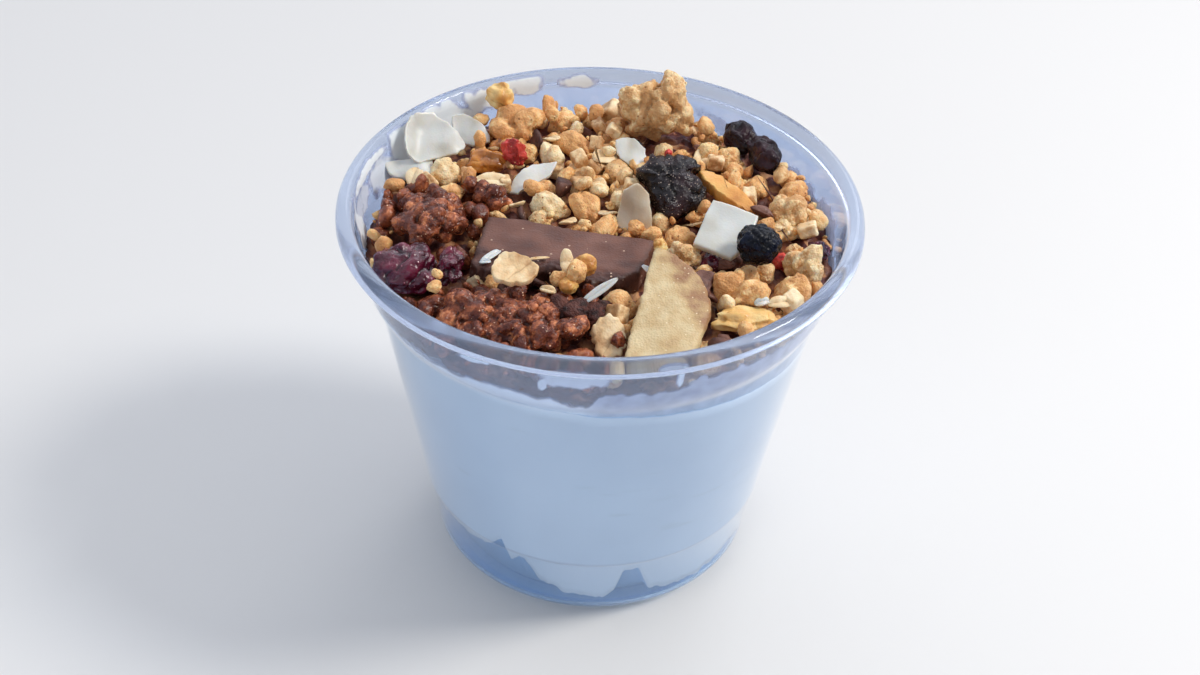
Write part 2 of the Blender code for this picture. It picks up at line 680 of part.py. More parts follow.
# Loose cereal that shows, fused to the heap: x, y, and length, width, height.
SHOWN = (
    (-24.0, 32.0, 4.4, 4.0, 4.0), (-8.0, 36.6, 6.6, 5.2, 5.0), (-5.7, 27.0, 7.6, 6.2, 6.0),
    (24.8, 24.0, 5.2, 6.0, 6.4), (21.0, 34.0, 5.0, 3.6, 3.6), (21.0, 28.6, 4.8, 4.4, 4.6),
    (29.9, 16.6, 5.2, 4.8, 5.0), (15.2, -0.4, 7.0, 6.0, 6.2), (-30.6, 16.6, 6.2, 6.4, 7.0),
    (-9.8, 8.0, 7.0, 6.6, 6.2), (-2.8, 8.6, 7.8, 5.4, 5.2), (0.4, 2.0, 7.6, 5.0, 5.0),
    (3.6, -22.2, 7.2, 6.4, 6.4), (-1.4, 20.4, 3.8, 3.6, 4.0), (-3.0, 15.4, 4.0, 4.0, 4.2),
    (2.6, 16.6, 4.2, 4.0, 4.2), (8.4, 20.0, 4.8, 4.0, 4.0), (22.6, -12.0, 4.8, 3.6, 3.4),
    (34.0, -4.6, 3.4, 3.2, 3.6), (36.6, -1.4, 3.8, 3.6, 3.6), (19.6, -31.6, 5.6, 4.2, 3.4),
    (20.2, -37.4, 6.4, 4.6, 5.0), (-37.0, 7.8, 3.6, 3.6, 3.6), (30.8, -21.2, 5.0, 4.0, 3.0),
    (-14.6, 24.8, 5.0, 4.2, 4.2), (-20.0, 26.2, 4.6, 4.4, 4.6), (-3.2, 33.4, 4.6, 4.4, 4.2),
    (2.4, 35.8, 4.8, 4.6, 4.8), (14.8, 24.0, 5.0, 4.4, 4.4), (19.6, 20.4, 4.6, 4.2, 4.2),
    (28.6, 4.6, 5.4, 4.6, 4.4), (32.6, 1.0, 4.6, 4.2, 4.2), (-25.6, 12.8, 4.8, 4.2, 4.4),
    (3.6, 29.8, 4.6, 4.4, 4.4), (-10.2, 15.6, 4.4, 3.8, 3.8), (-8.2, 21.4, 4.8, 4.4, 4.4),
    (-27.0, -33.0, 5.4, 4.4, 4.0), (-9.0, -41.0, 5.6, 4.2, 4.0), (33.0, -27.0, 5.0, 4.4, 3.8),
    (-36.5, -23.0, 4.6, 4.0, 3.8), (-41.0, -1.0, 4.4, 4.2, 4.0), (41.0, 9.0, 4.4, 4.0, 3.8),
)
FILL_COUNT = 66
FILL_SIZE = (3.6, 5.4)


def clear_of(size, spot, angles, seed, bed, detail):
    """The piece at its spot if it clears the toppings and the wall by the gap, or None."""
    grown = moved(lump([s + 2 * FIT_GAP for s in size], seed, 0.3, 1.9, detail), spot, angles)
    if inside_wall(grown) > 0.8 or bed.meets(grown) or bed.holds(Vector(spot)):
        grown.free()
        return None
    grown.free()
    piece = moved(lump(size, seed, 0.3, 1.9, detail), spot, angles)
    inside_wall(piece)
    return piece


def loose_cereal(bed):
    """The nuggets and flakes that cover the heap, moved, shrunk or skipped at a topping."""
    wanted = [(x, y, (a, b, c), 0) for x, y, a, b, c in SHOWN]
    for _ in range(FILL_COUNT):
        reach = 42.0 * math.sqrt(RNG.random())
        around = RNG.uniform(0, 2 * math.pi)
        grain = RNG.uniform(*FILL_SIZE)
        size = (grain, grain * RNG.uniform(0.8, 1.0), grain * RNG.uniform(0.7, 1.0))
        wanted.append((reach * math.cos(around), reach * math.sin(around), size, 1))
    pieces, spots = [], []
    for k, (x, y, size, detail) in enumerate(wanted):
        if detail == 1 and any(math.dist((x, y), s[:2]) < 0.4 * (size[0] + s[2]) for s in spots):
            continue
        angles = (RNG.uniform(-25, 25), RNG.uniform(-25, 25), RNG.uniform(0, 180))
        piece = None
        for tries in range(10):
            reach = 0.0 if tries == 0 else 0.35 * tries
            way = tries * 2.4
            px, py = x + reach * math.cos(way), y + reach * math.sin(way)
            shrunk = [s * (1 - 0.03 * tries) for s in size]
            spot = (px, py, heap_top(px, py) + 0.26 * shrunk[2])
            piece = clear_of(shrunk, spot, angles, 100 + k, bed, detail)
            if piece is not None:
                break
        if piece is not None:
            pieces.append(piece)
            spots.append((px, py, shrunk[0]))
    return pieces


def main():
    clear_scene()
    name = "cup of yogurt with cereal"
    collection = bpy.data.collections.new(name)
    bpy.context.scene.collection.children.link(collection)
    cup = make_cup(collection)
    make_yogurt(collection)
    bed = Bed()
    core = heap_core()
    bed.add(core)
    make_toppings(collection, bed)
    toppings = Bed()
    toppings.laid = bed.laid[1:]
    heap = fused("cereal_heap", core, loose_cereal(toppings), collection)
    heap.data.materials.append(material("granola", 0.6))
    for obj in collection.objects:
        for vert in obj.data.vertices:
            vert.co *= 0.001
    cup.modifiers["turn"].merge_threshold = 0.00001


main()
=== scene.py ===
"""The finished look of a clear cup of yogurt under a heap of cereal, fruit and coconut.

Shapes are worked out in millimetres and turned to metres when a piece is finished. The cup
stands on z = 0 with +Z up, and -Y is the side that the camera sees.
"""

import math
import random
from collections import defaultdict

import bmesh
import bpy
import numpy as np
from mathutils import Euler, Matrix, Vector, kdtree, noise
from mathutils.bvhtree import BVHTree


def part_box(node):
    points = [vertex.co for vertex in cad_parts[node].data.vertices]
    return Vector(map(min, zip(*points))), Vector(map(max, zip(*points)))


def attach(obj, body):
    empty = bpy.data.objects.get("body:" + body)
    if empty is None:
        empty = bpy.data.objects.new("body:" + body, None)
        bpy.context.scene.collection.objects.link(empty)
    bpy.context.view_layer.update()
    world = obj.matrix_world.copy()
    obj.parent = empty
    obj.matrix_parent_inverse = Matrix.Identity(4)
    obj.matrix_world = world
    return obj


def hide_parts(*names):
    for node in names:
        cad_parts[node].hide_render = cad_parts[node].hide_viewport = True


MM = 0.001

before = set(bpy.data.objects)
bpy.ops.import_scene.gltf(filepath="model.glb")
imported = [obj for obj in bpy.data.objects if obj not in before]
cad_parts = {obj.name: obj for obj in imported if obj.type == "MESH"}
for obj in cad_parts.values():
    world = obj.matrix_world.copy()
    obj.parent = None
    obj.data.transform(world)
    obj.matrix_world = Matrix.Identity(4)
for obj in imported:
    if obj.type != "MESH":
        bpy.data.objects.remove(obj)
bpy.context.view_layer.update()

# The cup: outer radius and height along its side, as the frame has it.
RIM_RADIUS = 49.0
RIM_TOP = 77.2
FOOT_FLAT_RADIUS = 26.7
FOOT_CORNER = 4.8
PANEL_RADIUS = 22.4
PANEL_LIFT = 1.2
STACKING_LINE_Z = 16.0
SHOULDER = (42.3, 60.6)
COLLAR_FOOT = (44.3, 64.4)
COLLAR_TOP = (46.3, 73.2)
WALL = 0.8
ROUND_STEPS = 288
# The collar's cast is milkier than the body's, and the lip is duller, between these heights.
COLLAR_CAST = (60.0, 62.5)
LIP_HAZE = (73.3, 74.0)
# The rolled lip: how far in from the rim's radius, and how far below its top.
LIP = (
    (1.9, 0.03), (1.4, 0.0), (0.9, 0.2), (0.45, 0.65), (0.15, 1.3), (0.0, 2.1), (0.0, 2.8),
    (0.2, 3.3), (0.7, 3.5), (1.4, 3.5), (2.0, 3.4), (2.4, 3.55),
)

# The contents.
IN_WALL = 0.25
YOGURT_LEVEL = 60.8
YOGURT_SLOPE = 0.095
POCKET_DEPTH = 3.2
FILM_FOOT = 56.6
FILM_TOP = 77.0
FILM_IN_WALL = 0.12
FILM_THICKNESS = 0.27
HEAP_LEVEL = 66.5
HEAP_BACK_RISE = 2.4
HEAP_DOME = 0.9
HEAP_UNEVEN = 0.5
# Loose pieces dropped between the toppings, and crumbs.
FILL_TRIES = 14000
FILL_COUNT = 290
FILL_RADII = (1.5, 3.5)
FILL_TOP = 71.3
FILL_BACK_RISE = 2.2
CRUMB_TRIES = 2600
# The cells in which the grains of a cluster are melted together.
CLUSTER_CELL = 0.26

# How far a topping has slid and sunk from where its solid rests, in millimetres.
SETTLED = {
    "blueberry": (-0.8, -2.4, -1.6), "coconut_square": (-0.6, -1.6, -1.0),
    "granola_lump_corner": (0.7, -2.2, -1.0), "granola_lump_far": (0.3, -2.8, -1.0),
    "cranberry_right": (0.0, -2.6, -1.0), "crisp_cluster_small": (-2.4, 1.5, 0.0),
    "chocolate_chunk": (2.5, 0.3, 0.0), "granola_lump_right": (-1.4, -1.2, 0.0),
    "granola_lump_edge": (-1.6, -1.2, 0.0), "granola_lump_middle": (1.0, -1.5, -0.5),
    "mango_strip": (-0.6, -1.4, -0.4),
    "coconut_chip_wall": (-1.0, 0.8, 0.3), "coconut_chip_left": (-0.9, -0.9, -0.2),
    "raisin_side": (-1.0, 0.8, 0.2), "raisin_back": (0.0, -1.0, -0.4),
}

# How much fuller than its plain solid a topping has swelled.
FULLER = {
    "prune_piece": 1.1, "cranberry_left": 1.1, "cranberry_lobe": 1.08, "raisin_side": 1.06,
    "raisin_back": 1.08, "granola_lump_right": 1.05,
}

# Height of the yogurt's lower edge on the wall by azimuth, where air is left at the foot.
FOOT_EDGE = (
    (-180, 9.0), (-160, 13.0), (-147, 14.1), (-128, 13.7), (-123, 16.3), (-120, 18.0),
    (-117.5, 12.7), (-112.5, 14.6), (-108, 9.4), (-103, 8.2), (-97.5, 6.0), (-84.5, 5.0),
    (-81, 7.0), (-78.5, 13.4), (-73, 13.6), (-68.5, 6.6), (-61, 5.4), (-45, 4.6),
    (-30, 7.5), (-12, 4.8), (10, 9.0), (35, 5.0), (60, 10.5), (85, 6.0), (110, 11.0),
    (135, 5.5), (160, 10.0), (180, 9.0),
)

# Height of the thin film left on the wall above the yogurt, and how dense it is, by azimuth.
FILM_EDGE = (
    (-180, 66.0), (-150, 65.8), (-142, 64.9), (-132, 64.5), (-122, 65.0), (-114, 65.6),
    (-109, 66.2), (-106, 65.4), (-103, 64.8), (-100, 65.8), (-97, 64.2), (-92, 63.2),
    (-89, 66.4), (-84, 67.0), (-77, 66.4), (-70, 67.0), (-66, 68.6), (-55, 68.2),
    (-45, 67.6), (-30, 68.6), (-20, 68.0), (0, 67.0), (25, 69.0), (40, 68.0), (70, 66.0),
    (100, 67.0), (140, 66.0), (180, 66.0),
)
FILM_DENSITY = (
    (-180, 0.95), (-150, 1.0), (-100, 1.0), (-94, 0.95), (-88, 0.66), (-60, 0.62), (-20, 0.66),
    (20, 0.8), (60, 0.95), (180, 0.95),
)

# Smears on the inner wall: azimuth, height, half width in degrees, half height, thickness
# from 0 to 1, and how far the smear leans, in millimetres a degree.
SMEARS = (
    (-118.0, 70.6, 5.0, 1.1, 1.0, 0.12), (-94.5, 70.8, 9.0, 2.6, 0.85, 0.05),
    (-70.9, 70.4, 0.9, 3.6, 1.0, 0.0), (-73.5, 73.0, 4.0, 0.9, 0.8, 0.0),
    (-101.6, 68.6, 1.3, 1.9, 0.9, 0.5), (-121.0, 72.0, 1.4, 0.6, 1.0, 0.1),
    (-128.0, 72.0, 3.0, 0.8, 0.7, 0.1),
    (-178.0, 69.5, 4.6, 6.5, 1.0, 0.3), (176.0, 72.0, 9.0, 2.6, 0.8, 0.0),
    (-170.0, 74.6, 8.0, 0.8, 0.8, 0.0), (168.0, 75.4, 14.0, 1.2, 1.0, 0.0),
    (160.0, 71.0, 9.0, 4.4, 0.85, 0.2), (149.0, 72.0, 7.0, 5.0, 1.0, 0.5),
    (145.0, 75.6, 12.0, 1.2, 1.0, 0.0), (132.0, 73.2, 9.0, 3.8, 1.0, 0.3),
    (122.0, 74.2, 8.0, 2.6, 1.0, 0.1), (111.5, 75.2, 7.5, 2.2, 1.0, 0.0),
    (96.5, 75.0, 6.0, 1.5, 1.0, 0.0), (28.0, 66.8, 11.0, 3.4, 0.55, 0.05),
    (10.0, 67.0, 10.0, 4.2, 0.5, 0.1), (-4.0, 71.5, 5.0, 3.0, 0.35, 0.1),
    (60.0, 70.0, 7.0, 2.0, 0.25, 0.2),
)


# ---------------------------------------------------------------- small helpers


def srgb(red, green, blue):
    """A colour as the eye names it, 0 to 255, in the linear values that a shader takes."""
    return tuple(
        v / 12.92 if v <= 0.04045 else ((v + 0.055) / 1.055) ** 2.4
        for v in (red / 255, green / 255, blue / 255)
    ) + (1.0,)


def clamp(value, low=0.0, high=1.0):
    return max(low, min(high, value))


def smooth(value):
    """An S-shaped step from 0 to 1."""
    share = clamp(value)
    return share * share * (3 - 2 * share)


def between(points, x):
    """The value at x on a line through (x, value) points."""
    for (x0, v0), (x1, v1) in zip(points, points[1:]):
        if x <= x1:
            return v0 + (v1 - v0) * clamp((x - x0) / (x1 - x0))
    return points[-1][1]


def shifted(point, size, seed):
    return point / size + Vector((seed * 3.7, seed * 1.9, seed * 5.3))


def wave(point, size, seed):
    """Soft unevenness from -1 to 1, with hills about this size."""
    return noise.noise(shifted(point, size, seed))


def pebble(point, size, seed):
    """Rounded bumps packed side by side: 1 on their tops and 0 in their seams."""
    near = noise.voronoi(shifted(point, size, seed))[0][0]
    return 1.0 - clamp(1.5 * near * near)


def crumbly(point, size, seed):
    """Rounded bumps packed side by side: how high each point is, and its bump's own number."""
    distances, seeds = noise.voronoi(shifted(point, size, seed))
    return 1.0 - clamp(1.5 * distances[0] ** 2), noise.cell(seeds[0] * 7.3)


def fold(point, size, seed):
    """Rounded folds with sharp valleys between them: 0 in a valley, 1 on a fold."""
    return clamp(2.6 * abs(noise.noise(shifted(point, size, seed))))


# ---------------------------------------------------------------- the cup's form


def outer_wall():
    """(height, outer radius) of the wall from the foot's corner to under the lip."""
    foot_r = FOOT_FLAT_RADIUS + FOOT_CORNER
    shoulder_r, shoulder_z = SHOULDER
    collar_r, collar_z = COLLAR_FOOT
    top_r, top_z = COLLAR_TOP
    slope = (shoulder_r - foot_r) / (shoulder_z - FOOT_CORNER)
    line_r = foot_r + slope * (STACKING_LINE_Z - FOOT_CORNER)
    line = ((-0.8, -0.37), (-0.45, -0.2), (0.0, 0.15), (0.5, 0.2), (9.0, 1.75))
    shoulder = ((-0.8, -0.18), (0.0, 0.0), (0.8, 0.4), (1.6, 0.9), (2.6, 1.5))
    wall = [(FOOT_CORNER, foot_r)]
    wall += [(STACKING_LINE_Z + up, line_r + out) for up, out in line]
    wall += [(shoulder_z + up, shoulder_r + out) for up, out in shoulder]
    wall += [(collar_z, collar_r), (collar_z + 1.0, collar_r + 0.26)]
    return wall + [(top_z - 0.6, top_r - 0.15), (top_z, top_r)]


def inner_wall():
    """(height, inner radius) of the wall, up to the top of the lip."""
    shoulder_r, shoulder_z = SHOULDER[0] - WALL, SHOULDER[1]
    collar_r, collar_z = COLLAR_FOOT[0] - WALL, COLLAR_FOOT[1]
    return [
        (FOOT_CORNER, FOOT_FLAT_RADIUS + FOOT_CORNER - WALL),
        (shoulder_z - 0.8, shoulder_r - 0.16), (shoulder_z, shoulder_r),
        (shoulder_z + 1.9, shoulder_r + 1.0), (collar_z, collar_r),
        (collar_z + 1.0, collar_r + 0.25), (COLLAR_TOP[1], COLLAR_TOP[0] - WALL),
        (75.0, 45.66), (75.8, 45.85), (76.5, 46.15), (77.0, 46.6),
    ]


INNER_WALL = inner_wall()


def inner_radius(z):
    """Radius of the cup's inner face at a height."""
    if z < FOOT_CORNER:
        corner = FOOT_CORNER - WALL
        drop = clamp((FOOT_CORNER - z) / corner)
        return FOOT_FLAT_RADIUS + corner * math.sqrt(1 - drop * drop)
    return between(INNER_WALL, z)


def round_at(radius, angle):
    """The x and y of a place at this radius and angle."""
    return radius * math.cos(angle), radius * math.sin(angle)


def arc(centre_r, centre_z, radius, start, end, steps):
    """Points on an arc in the profile plane, angles in degrees."""
    angles = [math.radians(start + (end - start) * k / steps) for k in range(steps + 1)]
    return [(centre_r + radius * math.cos(a), centre_z + radius * math.sin(a)) for a in angles]


def spun(profile, steps):
    """A closed body turned from (radius, height) points."""
    bm = bmesh.new()
    verts = [bm.verts.new((r, 0.0, z)) for r, z in profile]
    for first, second in zip(verts, verts[1:]):
        bm.edges.new((first, second))
    bmesh.ops.spin(
        bm, geom=bm.verts[:] + bm.edges[:], axis=(0, 0, 1), cent=(0, 0, 0),
        angle=2 * math.pi, steps=steps, use_merge=True,
    )
    bmesh.ops.remove_doubles(bm, verts=bm.verts, dist=0.0001)
    return bm


def cup_profile():
    """Inner floor, inner wall, rolled lip, outer wall and foot, as (radius, height)."""
    profile = [(0.0, PANEL_LIFT + WALL), (PANEL_RADIUS - 0.4, PANEL_LIFT + WALL)]
    profile += [(PANEL_RADIUS + 0.4, PANEL_LIFT + WALL - 0.35), (PANEL_RADIUS + 1.4, WALL)]
    profile += arc(FOOT_FLAT_RADIUS, FOOT_CORNER, FOOT_CORNER - WALL, -90, 0, 10)
    profile += [(r, z) for z, r in INNER_WALL[1:]]
    profile += [(RIM_RADIUS - inset, RIM_TOP - drop) for inset, drop in LIP]
    profile += [(r, z) for z, r in reversed(outer_wall()[1:])]
    profile += reversed(arc(FOOT_FLAT_RADIUS, FOOT_CORNER, FOOT_CORNER, -90, 0, 12))
    profile += [(PANEL_RADIUS + 1.6, 0.0), (PANEL_RADIUS + 0.8, 0.15)]
    profile += [(PANEL_RADIUS + 0.1, PANEL_LIFT - 0.15), (PANEL_RADIUS - 0.8, PANEL_LIFT)]
    return profile + [(0.0, PANEL_LIFT)]


# ---------------------------------------------------------------- mesh helpers


def turned(turn):
    """The rotation by these degrees about X, Y and Z."""
    return Euler([math.radians(angle) for angle in turn]).to_matrix()


def moved(bm, turn, spot=(0, 0, 0)):
    """Turns a piece by degrees about X, Y and Z, then moves it to its spot."""
    matrix = turned(turn)
    for vert in bm.verts:
        vert.co = matrix @ vert.co + Vector(spot)
    return bm


def extent(verts):
    """The lowest and the highest corner of the box round some points."""
    return [Vector(pick(vert.co[i] for vert in verts) for i in range(3)) for pick in (min, max)]


def node_box(node):
    """A CAD node's lowest and highest corners in millimetres."""
    return tuple(corner / MM + Vector(SETTLED.get(node, (0, 0, 0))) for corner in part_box(node))


def fitted(bm, node):
    """Brings a topping to its CAD node's box, or a little past it where it has swelled."""
    least, most = extent(bm.verts)
    low, high = node_box(node)
    middle = (low + high) / 2
    for vert in bm.verts:
        for i in range(3):
            share = (vert.co[i] - least[i]) / (most[i] - least[i])
            vert.co[i] = low[i] + share * (high[i] - low[i])
        vert.co = middle + FULLER.get(node, 1.0) * (vert.co - middle)
    return bm


def solid_of(node):
    """A copy of a CAD solid in millimetres, with its loose corners merged."""
    bm = bmesh.new()
    bm.from_mesh(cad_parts[node].data)
    for vert in bm.verts:
        vert.co = vert.co / MM + Vector(SETTLED.get(node, (0, 0, 0)))
    bmesh.ops.remove_doubles(bm, verts=bm.verts, dist=0.002)
    bmesh.ops.recalc_face_normals(bm, faces=bm.faces)
    return bm


def toned(bm):
    """The layer that holds how light each point of a piece is, from 0 to 1."""
    return bm.verts.layers.float.get("tone") or bm.verts.layers.float.new("tone")


def tint(bm, middle, spread, size, seed):
    """Makes a piece lighter and darker in patches of about this size."""
    layer = toned(bm)
    for vert in bm.verts:
        vert[layer] = clamp(middle + spread * wave(vert.co, size, seed))


def carved(bm, depth):
    """Sinks each point of a piece along its normal, by depth(place) millimetres."""
    bmesh.ops.recalc_face_normals(bm, faces=bm.faces)
    bm.normal_update()
    places = [vert.co - vert.normal * depth(vert.co) for vert in bm.verts]
    for vert, place in zip(bm.verts, places):
        vert.co = place
    return bm


def add_ball(bm, detail):
    """Adds a ball of radius 1 and gives its points."""
    return bmesh.ops.create_icosphere(bm, subdivisions=detail, radius=1.0)["verts"]


def lump(size, seed, rough, swell, detail):
    """An uneven rounded piece of this length, width and height."""
    bm = bmesh.new()
    for vert in add_ball(bm, detail):
        way = vert.co.normalized()
        vert.co = way * (1 + rough * wave(way, 1 / swell, seed))
    low, high = extent(bm.verts)
    for vert in bm.verts:
        for i in range(3):
            vert.co[i] = ((vert.co[i] - low[i]) / (high[i] - low[i]) - 0.5) * size[i]
    return bm


def random_ways(rng, count):
    return [Vector(rng.gauss(0, 1) for _ in range(3)).normalized() for _ in range(count)]


def lobes(seed, count, spread):
    """The round lobes that a puffed piece has run together from, in a unit ball."""
    rng = random.Random(seed)
    found = []
    for _ in range(count):
        way = random_ways(rng, 1)[0]
        found.append((way * spread * rng.uniform(0.5, 1.0), rng.uniform(0.55, 0.75)))
    return found


def lobed_reach(way, parts):
    """How far the lobes reach along a way from the middle, with soft creases between them."""
    total = 0.0
    for centre, radius in parts:
        along = centre.dot(way)
        total += math.exp(9 * (along + math.sqrt(along**2 - centre.length_squared + radius**2)))
    return math.log(total) / 9


def sides(seed, count):
    """The broken sides of an angular chunk: which way each faces, and how far out it is."""
    rng = random.Random(seed)
    return [(way, rng.uniform(0.7, 1.0)) for way in random_ways(rng, count)]


def chunk_reach(way, parts):
    """How far an angular chunk reaches along a way from its middle, with worn edges."""
    total = sum(math.exp(7 * way.dot(normal) / distance) for normal, distance in parts)
    return 7 / math.log(total)


def dents(way, seed):
    """Hollows, bumps and small pits in a baked surface."""
    pits = smooth(3.2 * wave(way, 0.21, seed + 2) - 1.2)
    return 0.13 * wave(way, 0.5, seed) + 0.07 * wave(way, 0.24, seed + 1) - 0.07 * pits


def add_grain(bm, spot, size, turn, tone, seed, detail, count, spread, chunky):
    """Adds one grain of this size to a bmesh of many: round lobes at chunky 0, broken at 1."""
    layer = toned(bm)
    matrix = turned(turn)
    round_parts = lobes(seed, count, spread)
    broken_parts = sides(seed, 7 if chunky > 0.8 else 12)
    made = add_ball(bm, detail)
    for vert in made:
        way = vert.co.normalized()
        bump, own = crumbly(way, 0.4, seed)
        reach = dents(way, seed) + (1 - chunky) * lobed_reach(way, round_parts)
        if chunky:
            reach += chunky * chunk_reach(way, broken_parts)
        vert.co = way * (reach + 0.08 * (bump - 0.7))
        vert[layer] = clamp(tone + 0.3 * wave(way, 0.6, seed + 3) + 0.3 * (own - 0.5))
    low, high = extent(made)
    middle, half = (low + high) / 2, (high - low) / 2
    for vert in made:
        place = Vector((vert.co[i] - middle[i]) / half[i] * size[i] / 2 for i in range(3))
        vert.co = Vector(spot) + matrix @ place


def mesh_of(name, bm):
    """A mesh with what a bmesh holds, which is freed."""
    mesh = bpy.data.meshes.new(name)
    bm.to_mesh(mesh)
    bm.free()
    return mesh


def placed(name, data):
    """A new object in the scene."""
    made = bpy.data.objects.new(name, data)
    bpy.context.scene.collection.objects.link(made)
    return made


def melted(bm):
    """One closed skin round all the grains of a bmesh, keeping the tone of the nearest one."""
    layer = toned(bm)
    tree = kdtree.KDTree(len(bm.verts))
    tones = []
    for k, vert in enumerate(bm.verts):
        tree.insert(vert.co, k)
        tones.append(vert[layer])
    tree.balance()
    grains = placed("grains", mesh_of("grains", bm))
    skin = grains.modifiers.new("skin", "REMESH")
    skin.mode = "VOXEL"
    skin.voxel_size = CLUSTER_CELL
    graph = bpy.context.evaluated_depsgraph_get()
    made = bmesh.new()
    made.from_mesh(grains.evaluated_get(graph).to_mesh())
    bpy.data.objects.remove(grains)
    layer = toned(made)
    for vert in made.verts:
        vert[layer] = tones[tree.find(vert.co)[1]]
    bmesh.ops.smooth_vert(
        made, verts=made.verts, factor=0.5, use_axis_x=True, use_axis_y=True, use_axis_z=True
    )
    return made


def spread_over(bm, spacing, rng):
    """Places about this far apart on a solid's top and sides, each with the way it faces."""
    faces = [face for face in bm.faces if face.normal.z > -0.35]
    areas = np.cumsum([face.calc_area() for face in faces])
    found = np.zeros((0, 3))
    places = []
    for _ in range(int(14 * areas[-1] / spacing**2)):
        face = faces[int(np.searchsorted(areas, rng.random() * areas[-1]))]
        a, b, c = [vert.co for vert in face.verts][:3]
        u, v = rng.random(), rng.random()
        if u + v > 1:
            u, v = 1 - u, 1 - v
        point = a + (b - a) * u + (c - a) * v
        if len(found) and (((found - np.array(point)) ** 2).sum(1) < spacing**2).any():
            continue
        found = np.vstack([found, np.array(point)])
        places.append((point, face.normal.copy()))
    return places


def rounded(outline, steps, bend, ragged, seed):
    """steps points, evenly spaced along a closed line through an outline. The line runs
    straight between the outline's points where bend is 0 and in soft curves where it is 1."""
    count = len(outline)
    fine = []
    for k in range(count):
        a, b, c, d = (Vector(outline[(k + j) % count]) for j in (-1, 0, 1, 2))
        for j in range(16):
            t = j / 16
            curve = 0.5 * (2 * b + (c - a) * t + (2 * a - 5 * b + 4 * c - d) * t * t
                           + (3 * b - a - 3 * c + d) * t**3)
            fine.append(b.lerp(c, t).lerp(curve, bend))
    fine.append(fine[0])
    runs = [0.0]
    for first, second in zip(fine, fine[1:]):
        runs.append(runs[-1] + (second - first).length)
    points, j = [], 0
    for k in range(steps):
        run = runs[-1] * k / steps
        while runs[j + 1] < run:
            j += 1
        point = fine[j].lerp(fine[j + 1], (run - runs[j]) / (runs[j + 1] - runs[j]))
        spot = Vector((point.x, point.y, 0))
        jag = Vector((wave(spot, 1.1, seed), wave(spot, 1.1, seed + 9), 0))
        points.append(spot + ragged * jag)
    return points


# Half sections of a thin piece from its middle to its edge: share of the way out and of the
# half thickness.
LEAF = [(k / 24, 1.0) for k in range(21)] + [(0.9, 0.97), (0.95, 0.86), (0.98, 0.6), (1.0, 0.0)]
CHIP = [(k / 24, 1.0) for k in range(23)] + [(0.975, 0.95), (0.993, 0.7), (1.0, 0.0)]
PILLOW = [(k / 24, math.sqrt(1 - (k / 24) ** 3)) for k in range(25)]
BRICK = (
    [(k / 40, 1.0) for k in range(39)]
    + [(0.985, 0.97), (0.997, 0.88), (1.0, 0.72), (1.0, 0.5), (1.0, 0.25), (1.0, 0.0)]
)


def thin_piece(outline, section, thickness, dish, warp, seed, bend, ragged, steps=120):
    """A thin curved piece with this outline and section."""
    rim = rounded(outline, steps, bend, ragged, seed)
    middle = sum(rim, Vector()) / steps
    profile = section + [(share, -height) for share, height in reversed(section[:-1])]
    bm = spun(profile, steps)
    for vert in bm.verts:
        share = math.hypot(vert.co.x, vert.co.y)
        turn = math.atan2(vert.co.y, vert.co.x) / (2 * math.pi) * steps
        point = middle.lerp(rim[round(turn) % steps], share)
        z = dish[0] * point.x**2 + dish[1] * point.y**2
        z += warp * noise.noise(Vector((point.x * 0.2, point.y * 0.2, seed * 2.7)))
        vert.co = Vector((point.x, point.y, z + vert.co.z * thickness / 2))
    return bm


def mark_creases(mesh):
    """Stores how hollow (over 0.5) or ridged (under 0.5) the surface is at each point, for the
    painted shade in hollows.
    """
    count = len(mesh.vertices)
    places = np.empty(count * 3)
    mesh.vertices.foreach_get("co", places)
    normals = np.empty(count * 3)
    mesh.vertex_normals.foreach_get("vector", normals)
    ends = np.empty(len(mesh.edges) * 2, np.int64)
    mesh.edges.foreach_get("vertices", ends)
    places, normals, ends = places.reshape(-1, 3), normals.reshape(-1, 3), ends.reshape(-1, 2)
    degree = np.maximum(1, np.bincount(ends.ravel(), minlength=count))
    around = np.zeros((count, 3))
    for near, far in ((0, 1), (1, 0)):
        for i in range(3):
            around[:, i] += np.bincount(ends[:, near], places[ends[:, far], i], count)
    lengths = np.linalg.norm(places[ends[:, 0]] - places[ends[:, 1]], axis=1)
    reach = np.bincount(ends.ravel(), np.repeat(lengths, 2), count) / degree
    hollow = ((around / degree[:, None] - places) * normals).sum(1) / np.maximum(reach, 1e-9)
    for _ in range(2):
        spread = np.bincount(ends[:, 0], hollow[ends[:, 1]], count)
        spread += np.bincount(ends[:, 1], hollow[ends[:, 0]], count)
        hollow = 0.5 * hollow + 0.5 * spread / degree
    crease = mesh.attributes.new("crease", "FLOAT", "POINT")
    crease.data.foreach_set("value", np.clip(0.5 + 2.2 * hollow, 0, 1).astype(np.float32))
    if "tone" not in mesh.attributes:
        tone = mesh.attributes.new("tone", "FLOAT", "POINT")
        tone.data.foreach_set("value", np.full(count, 0.5, np.float32))


def finished(name, bm, look, *nodes):
    """Makes a bmesh in millimetres a piece of the part that stands for these CAD nodes."""
    bmesh.ops.recalc_face_normals(bm, faces=bm.faces)
    for vert in bm.verts:
        vert.co *= MM
    mesh = mesh_of(name, bm)
    mesh.shade_smooth()
    mark_creases(mesh)
    mesh.materials.append(LOOKS[look])
    piece = placed(name, mesh)
    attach(piece, "root")
    if nodes:
        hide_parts(*nodes)


# ---------------------------------------------------------------- finishes


def wire(tree, made, values):
    """Gives a shader node its values. Another node's output is linked, any other value set."""
    for key, value in values.items():
        if isinstance(value, bpy.types.NodeSocket):
            tree.links.new(value, made.inputs[key])
        else:
            made.inputs[key].default_value = value
    return made


